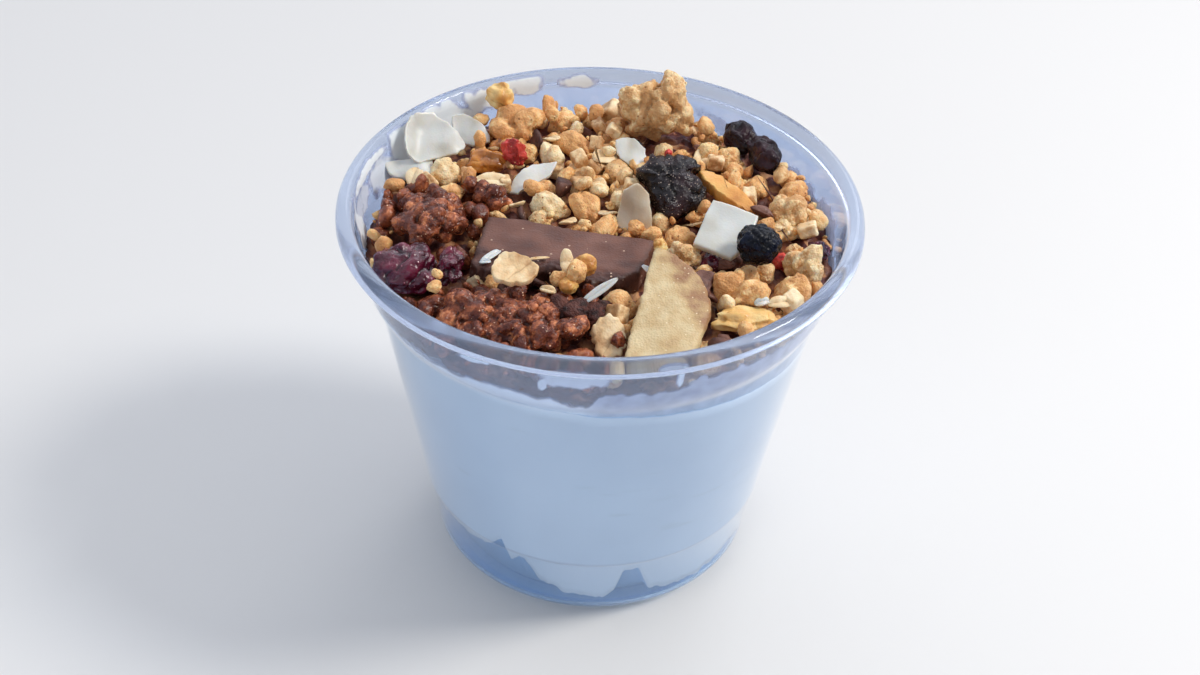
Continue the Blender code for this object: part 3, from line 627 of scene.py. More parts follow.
def put(tree, kind, values, **settings):
    """Adds a shader node with its settings and its values."""
    made = tree.nodes.new("ShaderNode" + kind)
    for key, value in settings.items():
        setattr(made, key, value)
    return wire(tree, made, values)


def mix_colour(tree, share, first, second):
    """The colour between two, by a share from 0 to 1."""
    return put(tree, "Mix", {0: share, 6: first, 7: second}, data_type="RGBA").outputs[2]


def mix_value(tree, share, first, second):
    return put(tree, "Mix", {0: share, 2: first, 3: second}).outputs[0]


def maths(tree, operation, first, second=0.0, use_clamp=False):
    values = {0: first, 1: second}
    return put(tree, "Math", values, operation=operation, use_clamp=use_clamp).outputs[0]


def stretched(tree, value, low, high, to_low=0.0, to_high=1.0):
    """A value's range from low to high, brought to another range and held there."""
    values = {0: value, 1: low, 2: high, 3: to_low, 4: to_high}
    return put(tree, "MapRange", values).outputs[0]


def object_place(tree):
    return put(tree, "TexCoord", {}).outputs["Object"]


def patches_of(tree, place, scale, detail, roughness=0.5):
    """Soft uneven patches over the surface, from 0 to 1."""
    values = {"Vector": place, "Scale": scale, "Detail": detail, "Roughness": roughness}
    return put(tree, "TexNoise", values).outputs["Fac"]


def stored(tree, name):
    """A value that the mesh holds at each of its points."""
    return put(tree, "Attribute", {}, attribute_name=name).outputs["Fac"]


def bumped(tree, strength, distance, height):
    values = {"Strength": strength, "Distance": distance, "Height": height}
    return put(tree, "Bump", values).outputs["Normal"]


def new_group(name, takes, gives):
    """An empty node group, with its inputs and their values, and its one output."""
    group = bpy.data.node_groups.new(name, "ShaderNodeTree")
    for label, value in takes.items():
        kind = "NodeSocketColor" if isinstance(value, tuple) else "NodeSocketFloat"
        group.interface.new_socket(label, in_out="INPUT", socket_type=kind).default_value = value
    kind = "NodeSocketColor" if gives == "Color" else "NodeSocketFloat"
    group.interface.new_socket(gives, in_out="OUTPUT", socket_type=kind)
    return group, group.nodes.new("NodeGroupInput").outputs


def given_out(group, value):
    """Ends a node group with the value that it puts out."""
    group.links.new(value, group.nodes.new("NodeGroupOutput").inputs[0])
    return group


def mottled_group():
    """Colour from dark to pale by each grain's own tone, in patches, with painted shade darkening
    its hollows.
    """
    takes = {
        "Pale": (0.8, 0.8, 0.8, 1), "Middle": (0.5, 0.5, 0.5, 1), "Dark": (0.2, 0.2, 0.2, 1),
        "Patches": 400.0, "Spread": 0.6, "Hollows": 0.6,
    }
    group, given = new_group("mottled", takes, "Color")
    patches = patches_of(group, object_place(group), given["Patches"], 4.0)
    drift = maths(group, "MULTIPLY", maths(group, "SUBTRACT", patches, 0.5), given["Spread"])
    light = maths(group, "ADD", stored(group, "tone"), maths(group, "MULTIPLY", drift, 2.0), True)
    low = mix_colour(group, stretched(group, light, 0.0, 0.5), given["Dark"], given["Middle"])
    both = mix_colour(group, stretched(group, light, 0.5, 1.0), low, given["Pale"])
    # Painted shade: the deeper a hollow, the more its colour is darkened towards near black.
    hollow = stretched(group, stored(group, "crease"), 0.52, 0.85)
    deep = maths(group, "MULTIPLY", hollow, given["Hollows"])
    shade = mix_colour(group, 0.6, given["Dark"], (0.01, 0.006, 0.004, 1))
    return given_out(group, mix_colour(group, deep, both, shade))


def grain_group():
    """Fine unevenness of a dry or dried surface, as a height."""
    takes = {"Coarse": 600.0, "Fine": 2500.0, "Balance": 0.4}
    group, given = new_group("fine_grain", takes, "Height")
    place = object_place(group)
    coarse = patches_of(group, place, given["Coarse"], 5.0, 0.6)
    cells = put(group, "TexVoronoi", {"Vector": place, "Scale": given["Fine"]})
    fine = cells.outputs["Distance"]
    return given_out(group, mix_value(group, given["Balance"], coarse, fine))


def speck_group():
    """Small separate spots, such as sugar or seeds: 1 on a spot and 0 off it."""
    takes = {"Scale": 900.0, "Size": 0.3, "Share": 0.4}
    group, given = new_group("specks", takes, "Mask")
    values = {"Vector": object_place(group), "Scale": given["Scale"]}
    cells = put(group, "TexVoronoi", values).outputs
    chosen = put(group, "SeparateColor", {0: cells["Color"]}).outputs[0]
    near = maths(group, "LESS_THAN", cells["Distance"], given["Size"])
    kept = maths(group, "LESS_THAN", chosen, given["Share"])
    return given_out(group, maths(group, "MULTIPLY", near, kept))


def gloss_group():
    """Roughness that drifts between two values over the surface."""
    takes = {"Glossy": 0.3, "Dull": 0.6, "Patches": 500.0}
    group, given = new_group("uneven_gloss", takes, "Roughness")
    patches = patches_of(group, object_place(group), given["Patches"], 3.0)
    share = stretched(group, patches, 0.35, 0.65)
    return given_out(group, mix_value(group, share, given["Glossy"], given["Dull"]))


GROUPS = {
    "mottled": mottled_group(),
    "fine_grain": grain_group(),
    "specks": speck_group(),
    "uneven_gloss": gloss_group(),
}


def place_group(tree, name, **values):
    """Places a node group, with the values that its inputs take here."""
    return put(tree, "Group", values, node_tree=GROUPS[name]).outputs[0]


def new_finish(name):
    """An empty material with its tree, its Principled shader and its output."""
    made = bpy.data.materials.new(name)
    made.use_nodes = True
    tree = made.node_tree
    return made, tree, tree.nodes["Principled BSDF"], tree.nodes["Material Output"]


def food_finish(name, pale, middle, dark, patches=300.0, spread=0.8, hollow_shade=0.4,
                gloss=(0.4, 0.6), coat=0.0, grain=(600.0, 2500.0, 0.4), relief=0.3,
                specks=None, scratches=None, soft=0.0, shine=0.5):
    """The finish of one kind of food: mottled colour with painted shade in its hollows, fine grain
    and uneven gloss.
    """
    made, tree, shader, _ = new_finish(name)
    colour = place_group(
        tree, "mottled", Pale=srgb(*pale), Middle=srgb(*middle), Dark=srgb(*dark),
        Patches=patches, Spread=spread, Hollows=hollow_shade,
    )
    rough = place_group(
        tree, "uneven_gloss", Glossy=gloss[0], Dull=gloss[1], Patches=patches * 2
    )
    height = place_group(tree, "fine_grain", Coarse=grain[0], Fine=grain[1], Balance=grain[2])
    if specks:
        spot_colour, scale, size, share = specks
        mask = place_group(tree, "specks", Scale=scale, Size=size, Share=share)
        colour = mix_colour(tree, mask, colour, srgb(*spot_colour))
        height = maths(tree, "ADD", height, maths(tree, "MULTIPLY", mask, 0.5))
    if scratches:
        line_colour, turn, amount = scratches
        values = {"Vector": object_place(tree), "Rotation": (0, 0, math.radians(turn)),
                  "Scale": (0.3, 1, 1)}
        lines = patches_of(tree, put(tree, "Mapping", values).outputs[0], 1300.0, 3.0)
        mask = stretched(tree, lines, 0.58, 0.72, 0.0, amount)
        colour = mix_colour(tree, mask, colour, srgb(*line_colour))
    wire(tree, shader, {
        "Base Color": colour, "Roughness": rough,
        "Normal": bumped(tree, relief, 0.0004, height),
        "Coat Weight": coat, "Coat Roughness": 0.12, "Specular IOR Level": shine,
        "Subsurface Weight": soft, "Subsurface Radius": (0.0012, 0.0008, 0.0005),
        "Subsurface Scale": 1.0,
    })
    return made


def clear_plastic():
    """Clear plastic with a cool cast, milkier at its collar, that lets lamps through."""
    made, tree, shader, out = new_finish("clear_plastic")
    up = put(tree, "SeparateXYZ", {0: object_place(tree)}).outputs["Z"]
    lip = stretched(tree, up, LIP_HAZE[0] * MM, LIP_HAZE[1] * MM)
    collar = stretched(tree, up, COLLAR_CAST[0] * MM, COLLAR_CAST[1] * MM)
    off_line = maths(tree, "ABSOLUTE", maths(tree, "SUBTRACT", up, STACKING_LINE_Z * MM))
    on_line = stretched(tree, off_line, 0.25 * MM, 0.6 * MM, 1.0, 0.0)
    colour = mix_colour(tree, collar, srgb(188, 220, 255), srgb(198, 217, 251))
    colour = mix_colour(tree, lip, colour, srgb(196, 206, 225))
    rough = place_group(tree, "uneven_gloss", Glossy=0.02, Dull=0.07, Patches=60.0)
    uneven = place_group(tree, "fine_grain", Coarse=90.0, Fine=40.0, Balance=0.3)
    wire(tree, shader, {
        "Base Color": mix_colour(tree, on_line, colour, srgb(168, 196, 232)),
        "Transmission Weight": 0.88, "IOR": 1.2, "Coat Roughness": 0.04,
        "Coat Weight": maths(tree, "SUBTRACT", 1.0, maths(tree, "MULTIPLY", lip, 0.75)),
        "Roughness": maths(tree, "ADD", rough, maths(tree, "MULTIPLY", lip, 0.12)),
        "Normal": bumped(tree, 0.12, 0.0005, uneven),
    })
    path = put(tree, "LightPath", {}).outputs
    passing = maths(tree, "MAXIMUM", path["Is Shadow Ray"], path["Is Diffuse Ray"])
    open_air = put(tree, "BsdfTransparent", {"Color": srgb(248, 251, 255)}).outputs[0]
    both = put(tree, "MixShader", {0: passing, 1: shader.outputs[0], 2: open_air})
    wire(tree, out, {"Surface": both.outputs[0]})
    return made


def yogurt_finish():
    """Cool white yogurt with faint streaks on the wall, a painted shade of deeper blue in the
    foot's gaps, and painted light whitening its top edge.
    """
    made, tree, shader, _ = new_finish("yogurt_white")
    place = object_place(tree)
    flat = put(tree, "Mapping", {"Vector": place, "Scale": (1.0, 1.0, 5.0)}).outputs[0]
    clouds = stretched(tree, patches_of(tree, place, 45.0, 3.0), 0.3, 0.7)
    streaks = stretched(tree, patches_of(tree, flat, 90.0, 5.0), 0.62, 0.74)
    body = mix_colour(tree, clouds, srgb(206, 211, 220), srgb(217, 222, 229))
    body = mix_colour(tree, maths(tree, "MULTIPLY", streaks, 0.4), body, srgb(192, 196, 198))
    # Painted shade: the yogurt set back from the wall at the foot is coloured darker blue.
    body = mix_colour(tree, stored(tree, "pocket_shade"), body, srgb(176, 198, 218))
    uneven = place_group(tree, "fine_grain", Coarse=200.0, Fine=500.0, Balance=0.1)
    # Painted light: the bead at the yogurt's top edge is whitened as if lit from above.
    wire(tree, shader, {
        "Base Color": mix_colour(tree, stored(tree, "bead"), body, srgb(250, 252, 255)),
        "Roughness": place_group(tree, "uneven_gloss", Glossy=0.3, Dull=0.5, Patches=150.0),
        "Normal": bumped(tree, 0.15, 0.0006, uneven),
    })
    return made


def film_finish():
    """A thin smear of yogurt, as see-through as it is thin. At the back it is lit through."""
    made, tree, shader, _ = new_finish("yogurt_film")
    place = object_place(tree)
    thick = stored(tree, "cover")
    edge = maths(tree, "MULTIPLY", thick, maths(tree, "SUBTRACT", 1.0, thick))
    mottle = stretched(tree, patches_of(tree, place, 350.0, 4.0), 0.3, 0.7, -0.5, 0.5)
    uneven = maths(tree, "ADD", thick, maths(tree, "MULTIPLY", edge, mottle))
    whiter = stretched(tree, thick, 0.5, 1.0)
    back = put(tree, "SeparateXYZ", {0: place}).outputs["Y"]
    wire(tree, shader, {
        "Base Color": mix_colour(tree, whiter, srgb(200, 206, 228), srgb(238, 246, 255)),
        "Alpha": maths(tree, "MINIMUM", uneven, 1.0),
        "Roughness": place_group(tree, "uneven_gloss", Glossy=0.25, Dull=0.45, Patches=300.0),
        "Subsurface Weight": stretched(tree, back, -5.0 * MM, 12.0 * MM, 0.0, 0.6),
        "Subsurface Radius": (0.0004, 0.0004, 0.0004), "Subsurface Scale": 1.0,
    })
    return made


LOOKS = {
    "granola": food_finish(
        "toasted_granola", (250, 214, 158), (238, 184, 122), (212, 152, 94), patches=420.0,
        spread=0.7, hollow_shade=0.32, gloss=(0.4, 0.65), coat=0.05, relief=1.0,
        grain=(900.0, 2500.0, 0.4), specks=((160, 100, 54), 900.0, 0.17, 0.26), soft=0.35,
        shine=0.35),
    "pale_granola": food_finish(
        "pale_granola", (252, 232, 192), (242, 210, 158), (214, 164, 110), patches=420.0,
        gloss=(0.4, 0.65), coat=0.05, relief=1.0, grain=(900.0, 2500.0, 0.4),
        specks=((180, 124, 74), 900.0, 0.17, 0.25), soft=0.3, shine=0.35),
    "oat": food_finish(
        "rolled_oat", (248, 226, 186), (236, 200, 150), (192, 142, 92), patches=500.0, spread=0.9,
        gloss=(0.45, 0.7), relief=0.4, soft=0.15),
    # The crisps' pale specks are painted glints on their glaze.
    "crisps": food_finish(
        "coated_crisps", (226, 146, 98), (160, 88, 56), (92, 42, 29), patches=420.0, spread=0.4,
        hollow_shade=0.75, gloss=(0.16, 0.3), coat=0.12, relief=0.7, grain=(1100.0, 2600.0, 0.4),
        specks=((240, 196, 160), 1500.0, 0.2, 0.16), soft=0.2, shine=0.32),
    "dark_crumble": food_finish(
        "dark_chocolate_crumble", (112, 66, 54), (76, 41, 35), (40, 20, 18), patches=500.0,
        spread=0.9, hollow_shade=0.9, grain=(900.0, 2600.0, 0.5), relief=1.0, shine=0.25),
    "milk_chocolate": food_finish(
        "milk_chocolate", (132, 91, 77), (106, 68, 56), (70, 40, 34), patches=260.0, spread=0.5,
        hollow_shade=0.5, gloss=(0.45, 0.65), relief=0.4, specks=((196, 166, 144), 900.0, 0.18, 0.14),
        scratches=((160, 128, 112), 18, 0.1), shine=0.4),
    # The cranberry's pale pink specks are painted speckle highlights on its glossy skin.
    "cranberry": food_finish(
        "dried_cranberry", (126, 26, 58), (82, 13, 38), (34, 6, 19), patches=260.0, spread=0.5,
        hollow_shade=0.7, gloss=(0.14, 0.34), coat=0.35, relief=0.6,
        specks=((170, 110, 124), 1700.0, 0.24, 0.16), soft=0.15),
    "prune": food_finish(
        "sugared_prune", (52, 32, 36), (24, 14, 18), (9, 6, 8), spread=0.7, hollow_shade=0.8,
        gloss=(0.2, 0.4), coat=0.12, relief=0.8, specks=((206, 184, 166), 2600.0, 0.26, 0.16),
        shine=0.3),
    "raisin": food_finish(
        "dried_raisin", (60, 30, 38), (32, 15, 22), (13, 7, 10), patches=200.0, spread=0.6,
        hollow_shade=0.7, gloss=(0.28, 0.44), coat=0.04, relief=0.35, shine=0.24),
    "blueberry": food_finish(
        "dried_blueberry", (15, 21, 42), (7, 10, 21), (3, 3, 7), patches=500.0, spread=0.7,
        hollow_shade=0.8, gloss=(0.2, 0.36), coat=0.07, relief=0.5, shine=0.16),
    "coconut": food_finish(
        "coconut_flesh", (220, 222, 219), (209, 209, 202), (186, 180, 164), patches=160.0,
        hollow_shade=0.1, gloss=(0.28, 0.42), relief=0.12, soft=0.5),
    "coconut_skin": food_finish(
        "coconut_by_its_skin", (216, 207, 188), (196, 178, 152), (158, 132, 106), patches=160.0,
        hollow_shade=0.1, gloss=(0.34, 0.5), relief=0.15, soft=0.4),
    "banana": food_finish(
        "banana_chip", (218, 196, 152), (202, 171, 122), (158, 115, 78), hollow_shade=0.25, relief=0.6,
        soft=0.15, specks=((232, 212, 174), 1500.0, 0.22, 0.2)),
    "mango": food_finish(
        "dried_mango", (244, 196, 116), (232, 166, 84), (188, 116, 48), patches=250.0,
        gloss=(0.3, 0.5), coat=0.15, relief=0.3, soft=0.25),
    "corn": food_finish(
        "yellow_cereal", (248, 220, 156), (238, 188, 110), (198, 132, 62), spread=0.9,
        gloss=(0.35, 0.55), coat=0.1, relief=0.4, soft=0.2),
    "amber": food_finish(
        "golden_raisin", (238, 172, 86), (206, 132, 54), (140, 80, 28), patches=250.0, hollow_shade=0.5,
        gloss=(0.2, 0.38), coat=0.3, relief=0.3, soft=0.3),
    "red_fruit": food_finish(
        "dried_strawberry", (230, 86, 70), (196, 52, 46), (126, 24, 28), patches=500.0, spread=0.7,
        coat=0.1, relief=0.6, specks=((230, 160, 118), 1300.0, 0.2, 0.25), soft=0.2),
    "crumble": food_finish(
        "cereal_base", (212, 158, 110), (156, 98, 68), (90, 44, 38), spread=0.9, hollow_shade=0.6,
        gloss=(0.4, 0.65), relief=0.5, shine=0.3),
    "clear_cup": clear_plastic(),
    "yogurt": yogurt_finish(),
    "yogurt_film": film_finish(),
}
# The slot of a look, where it isn't a slot's own name.
SLOTS = {
    "yogurt_film": "yogurt", "pale_granola": "granola", "crumble": "granola",
    "dark_crumble": "crisps", "coconut_skin": "coconut", "corn": "mango",
}


# ---------------------------------------------------------------- cup, yogurt and film


def make_cup():
    finished("cup_shell", spun(cup_profile(), ROUND_STEPS), "clear_cup", "cup")


def yogurt_top(x, y):
    """Height of the yogurt's surface: it climbs to the left and waves a little."""
    level = clamp(YOGURT_LEVEL - YOGURT_SLOPE * x, 57.2, 63.6)
    return level + 0.3 * noise.noise(Vector((x, y, 0)) * 0.08)


def wall_line(angle):
    """Height of the yogurt's upper edge on the wall, ragged like a spooned edge."""
    around = Vector((*round_at(1.0, angle), 0)) * 41
    level = yogurt_top(*round_at(40, angle))
    return level + 0.35 * wave(around, 5.0, 2) + 0.2 * wave(around, 1.6, 3)


def foot_line(angle):
    """Height of the yogurt's lower edge on the wall."""
    around = Vector((*round_at(1.0, angle), 0)) * 32
    edge = between(FOOT_EDGE, math.degrees(angle))
    return max(4.0, edge + 0.9 * wave(around, 2.2, 4) + 0.6 * wave(around, 0.8, 5))


def ring_body(rings, steps):
    """A closed body of these rings, still in plain order: each at the height of its number."""
    radii = [0.0 if ring == "axis" else 20.0 for ring in rings]
    return spun([(radius, float(k)) for k, radius in enumerate(radii)], steps)


def ring_points(bm, rings):
    """Each point of such a body, with its ring's number and name, and its angle."""
    for vert in bm.verts:
        k = round(vert.co.z)
        yield vert, k, rings[k], math.atan2(vert.co.y, vert.co.x)


def make_yogurt():
    """Yogurt that reaches just into the wall, with air pockets left at the foot."""
    floor = PANEL_LIFT + WALL - IN_WALL
    up = 26
    rings = ["axis", "floor", "foot", "under", "lip"] + ["wall"] * up
    rings += ["bead", "crest", "slope", "top", "axis"]
    bm = ring_body(rings, 600)
    pocket_shade = bm.verts.layers.float.new("pocket_shade")
    bead = bm.verts.layers.float.new("bead")
    for vert, k, ring, angle in ring_points(bm, rings):
        edge, line = foot_line(angle), wall_line(angle)
        wall = edge + (line - 1.5 - edge) * (k - 5) / (up - 1)
        radius, z = {
            "axis": (0.0, floor if k == 0 else yogurt_top(0, 0)),
            "floor": (20.0, floor),
            "foot": (inner_radius(3.0) - POCKET_DEPTH - 2.0, floor),
            "under": (inner_radius(edge - 0.8) - POCKET_DEPTH, edge - 0.8),
            "lip": (inner_radius(edge - 0.35) - 0.5, edge - 0.35),
            "wall": (inner_radius(wall) + IN_WALL, wall),
            "bead": (inner_radius(line) - 0.6, line - 0.5),
            "crest": (inner_radius(line) - 1.7, line + 0.1),
            "slope": (inner_radius(line) - 3.0, line + 0.1),
            "top": (20.0, yogurt_top(*round_at(20.0, angle))),
        }[ring]
        # Painted shade: the rings set back at the foot are marked for the darker blue.
        vert[pocket_shade] = 1.0 if ring in ("floor", "foot", "under") else 0.0
        # Painted light: the bead, its crest and the wall just below the top edge are marked to be
        # painted whiter.
        vert[bead] = 1.0 if ring in ("bead", "crest") else smooth(1.1 - (line - z) / 3.0)
        vert.co = Vector((*round_at(radius, angle), z))
    finished("yogurt_body", bm, "yogurt", "yogurt")


def cover(angle, z):
    """How thick the smeared yogurt is at a place on the inner wall, from 0 to 1."""
    degrees = math.degrees(angle)
    place = Vector((*round_at(45, angle), z))
    ragged = 0.7 * wave(place, 2.4, 11) + 0.3 * wave(place, 0.9, 12)
    density = between(FILM_DENSITY, degrees)
    soft_edge = smooth((density - 0.9) / 0.1)
    top = between(FILM_EDGE, degrees) + (1.6 - 0.8 * soft_edge) * ragged
    amount = density * (1 + 0.5 * (1 - density) * wave(place, 3.0, 13))
    amount *= smooth((top - z) / (0.35 + 0.9 * soft_edge))
    for middle, height, wide, tall, thick, lean in SMEARS:
        aside = (degrees - middle + 180) % 360 - 180
        if abs(aside) > 1.6 * wide:
            continue
        reach = (aside / wide) ** 2 + ((z - height - lean * aside) / tall) ** 2
        amount = max(amount, thick * smooth(1.8 * (1.0 - reach + 0.7 * ragged)))
    return clamp(amount * smooth((FILM_TOP - z) / 0.4))


def make_film():
    """The thin film and smears of yogurt on the inner wall, as far as they reach."""
    bm = bmesh.new()
    bmesh.ops.create_grid(bm, x_segments=900, y_segments=76, size=1.0)
    for vert in bm.verts:
        z = FILM_FOOT + (FILM_TOP - FILM_FOOT) * (vert.co.y + 1) / 2
        radius = inner_radius(z) + FILM_IN_WALL
        vert.co = Vector((*round_at(radius, math.pi * vert.co.x), z))
    bmesh.ops.remove_doubles(bm, verts=bm.verts, dist=0.001)
    layer = bm.verts.layers.float.new("cover")
    for vert in bm.verts:
        angle = math.atan2(vert.co.y, vert.co.x)
        below = vert.co.z < wall_line(angle) - 0.6
        vert[layer] = 0.0 if below else cover(angle, vert.co.z)
    bare = [face for face in bm.faces if all(vert[layer] < 0.02 for vert in face.verts)]
    bmesh.ops.delete(bm, geom=bare, context="FACES")
    bmesh.ops.recalc_face_normals(bm, faces=bm.faces)
    outward = sum(face.normal.dot(face.calc_center_median()) for face in bm.faces)
    thickness = math.copysign(FILM_THICKNESS, outward)
    bmesh.ops.solidify(bm, geom=bm.faces[:], thickness=thickness)
    for vert in bm.verts:
        vert[layer] = cover(math.atan2(vert.co.y, vert.co.x), vert.co.z)
    finished("yogurt_film_on_wall", bm, "yogurt_film")


# ---------------------------------------------------------------- the heap


def heap_top(x, y):
    """Height of the heap's bare core: a low dome that rises to the back."""
    rise = smooth((y + 5) / 35)
    dome = 1 - (x * x + y * y) / 43.0**2
    uneven = noise.noise(Vector((x, y, 7.0)) * 0.11)
    return HEAP_LEVEL + HEAP_BACK_RISE * rise + HEAP_DOME * dome + HEAP_UNEVEN * uneven


def make_heap_core():
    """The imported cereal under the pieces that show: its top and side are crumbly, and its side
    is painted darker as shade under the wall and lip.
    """
    side_rings, top_rings = 22, 84
    rings = ["axis", "low"] + ["side"] * side_rings + ["top"] * top_rings + ["axis"]
    bm = ring_body(rings, 420)
    layer = toned(bm)
    for vert, k, ring, angle in ring_points(bm, rings):
        foot = wall_line(angle) - 0.5
        brim = heap_top(*round_at(43, angle)) - 0.2
        if ring == "axis":
            radius, z = 0.0, yogurt_top(0, 0) if k == 0 else heap_top(0, 0)
        elif ring == "low":
            radius, z = 30.0, yogurt_top(*round_at(30, angle))
        elif ring == "side":
            z = foot + (brim - foot) * (k - 2) / (side_rings - 1)
            radius = inner_radius(z) + 0.15 - 1.6 * smooth((foot + 1.5 - z) / 1.6)
            spot = Vector((*round_at(radius, angle), z))
            radius -= 1.5 * (1 - pebble(spot, 3.4, 21)) + 0.6 * abs(wave(spot, 1.4, 22))
        else:
            radius = 42.8 * (1 - (k - 2 - side_rings + 0.5) / top_rings)
            z = heap_top(*round_at(radius, angle))
            spot = Vector((*round_at(radius, angle), z))
            z += 1.5 * (pebble(spot, 2.6, 23) - 0.7) + 0.4 * wave(spot, 0.9, 24)
        vert.co = Vector((*round_at(radius, angle), z))
        own = crumbly(vert.co, 2.6, 23)[1]
        # Painted shade: the side against the wall gets only the darker tones.
        vert[layer] = 0.4 * own if ring == "side" else 0.2 + 0.75 * own
    finished("heap_base", bm, "crumble", "cereal_heap")


class Bed:
    """How high everything laid so far reaches, on a grid seen from above."""

    STEP = 0.5
    HALF = 48.0

    def __init__(self):
        line = np.linspace(-self.HALF, self.HALF, int(2 * self.HALF / self.STEP) + 1)
        self.x, self.y = np.meshgrid(line, line, indexing="ij")
        self.height = np.array([[heap_top(x, y) for y in line] for x in line])
        self.toppings = np.full_like(self.height, -1.0)

    def around(self, x, y, reach):
        """The part of the grid within reach of a place, and its squared distances from it."""
        spot = []
        for value in (x, y):
            first = int((value - reach + self.HALF) / self.STEP)
            last = int((value + reach + self.HALF) / self.STEP) + 2
            spot.append(slice(max(0, first), max(1, last)))
        spot = tuple(spot)
        return spot, (self.x[spot] - x) ** 2 + (self.y[spot] - y) ** 2

    def add_topping(self, node):
        """Raises the grid to the top of a topping."""
        low, high = node_box(node)
        solid = solid_of(node)
        tree = BVHTree.FromBMesh(solid)
        solid.free()
        near = (self.x > low.x) & (self.x < high.x) & (self.y > low.y) & (self.y < high.y)
        for i, j in np.argwhere(near):
            above = Vector((self.x[i, j], self.y[i, j], 200.0))
            hit = tree.ray_cast(above, Vector((0, 0, -1)))[0]
            if hit is not None:
                for grid in (self.height, self.toppings):
                    grid[i, j] = max(grid[i, j], hit.z)

    def drop(self, x, y, radius):
        """Height of the middle of a ball of this radius let down at x, y."""
        spot, flat = self.around(x, y, radius)
        under = flat < max(radius, 0.75 * self.STEP) ** 2
        reach = np.sqrt(np.maximum(0.0, radius**2 - flat))
        return float(np.where(under, self.height[spot] + reach, -100.0).max())

    def cover(self, x, y, z, radius):
        """Raises the grid to the top of a ball laid there."""
        spot, flat = self.around(x, y, radius)
        reach = np.sqrt(np.maximum(0.0, radius**2 - flat))
        ball = np.where(flat < radius**2, z + reach, -100.0)
        self.height[spot] = np.maximum(self.height[spot], ball)

    def topping_near(self, x, y, reach):
        spot, flat = self.around(x, y, reach)
        return bool(((flat < reach**2) & (self.toppings[spot] > 0)).any())


# Loose cereal that shows: x, y, length, width, height, and what it is.
SHOWN = (
    (-24.0, 32.0, 4.4, 4.0, 4.0, "amber"), (-8.0, 36.6, 6.6, 5.2, 5.0, "nugget"),
    (-5.7, 27.0, 8.2, 6.4, 6.2, "nugget"), (24.8, 24.0, 5.2, 6.0, 6.4, "nugget"),
    (21.0, 34.0, 5.0, 3.6, 3.6, "nugget"), (21.0, 28.6, 5.2, 4.6, 4.8, "chocolate"),
    (29.9, 16.6, 5.6, 5.0, 5.2, "nugget"), (15.2, -0.4, 7.4, 6.0, 6.2, "nugget"),
    (-30.6, 16.6, 6.2, 6.4, 7.0, "pale"), (-9.8, 8.0, 7.0, 6.6, 6.2, "pale"),
    (-2.8, 7.6, 8.2, 5.6, 5.2, "nugget"), (0.6, 1.6, 8.0, 5.2, 5.0, "nugget"),
    (3.6, -22.2, 7.2, 6.4, 6.4, "nugget"), (-1.4, 20.8, 3.8, 3.6, 4.0, "cube"),
    (-4.2, 14.8, 4.0, 3.6, 4.4, "cube"), (-0.6, 14.6, 4.0, 3.8, 4.2, "cube"),
    (-5.2, 19.2, 3.4, 3.4, 3.6, "cube"), (1.2, 23.4, 3.6, 3.4, 3.6, "cube"),
    (0.4, 26.6, 3.4, 3.2, 3.4, "cube"), (3.4, 19.2, 6.0, 4.8, 5.2, "pale"),
    (3.6, 13.8, 3.8, 3.4, 4.0, "cube"), (5.6, 16.6, 3.4, 3.2, 3.4, "cube"),
    (8.4, 20.0, 4.8, 4.0, 4.0, "pale"), (22.6, -12.0, 4.8, 3.6, 3.4, "nugget"),
    (34.0, -4.6, 3.6, 3.4, 3.8, "red"), (36.6, -1.4, 3.8, 3.6, 3.6, "pale"),
    (19.6, -31.6, 5.6, 4.2, 3.4, "nugget"), (20.2, -37.4, 6.4, 4.6, 5.0, "nugget"),
    (-37.0, 7.8, 3.6, 3.6, 3.6, "crisp"), (30.8, -21.2, 5.0, 4.0, 3.0, "nugget"),
    (-14.6, 24.8, 5.0, 4.2, 4.2, "nugget"), (-20.0, 26.2, 4.6, 4.4, 4.6, "amber"),
    (-3.2, 33.4, 4.6, 4.4, 4.2, "chocolate"), (2.4, 35.8, 4.8, 4.6, 4.8, "nugget"),
    (14.8, 24.0, 5.0, 4.4, 4.4, "nugget"), (19.6, 20.4, 4.6, 4.2, 4.2, "chocolate"),
    (28.6, 4.6, 5.4, 4.6, 4.4, "chocolate"), (32.6, 1.0, 4.6, 4.2, 4.2, "nugget"),
    (-25.6, 12.8, 4.8, 4.2, 4.4, "crisp"), (3.6, 29.8, 4.6, 4.4, 4.4, "nugget"),
    (-10.6, 13.6, 4.4, 3.8, 3.8, "nugget"), (-9.0, 20.4, 3.6, 3.4, 3.6, "cube"),
    (-11.6, 4.6, 5.4, 4.4, 4.2, "pale"), (-20.6, 8.4, 4.4, 3.8, 4.4, "amber"),
    (-27.0, -33.0, 5.4, 4.4, 4.0, "crisp"), (-9.0, -41.0, 5.6, 4.2, 4.0, "crisp"),
    (33.0, -27.0, 5.0, 4.4, 3.8, "nugget"), (-36.5, -23.0, 4.6, 4.0, 3.8, "crisp"),
    (-41.0, -1.0, 4.4, 4.2, 4.0, "crisp"), (41.0, 9.0, 4.4, 4.0, 3.8, "nugget"),
    (20.6, -7.6, 5.4, 4.6, 4.4, "dark_berry"), (34.6, 4.4, 6.0, 5.0, 5.0, "pale"),
    (38.6, 5.4, 5.2, 4.6, 4.4, "pale"), (27.6, -10.6, 4.8, 4.2, 4.2, "nugget"),
    (25.0, -6.0, 4.6, 4.2, 3.8, "chocolate"), (30.6, -8.4, 4.2, 3.8, 3.8, "pale"),
    (25.2, -13.6, 4.4, 4.0, 3.6, "nugget"),
)


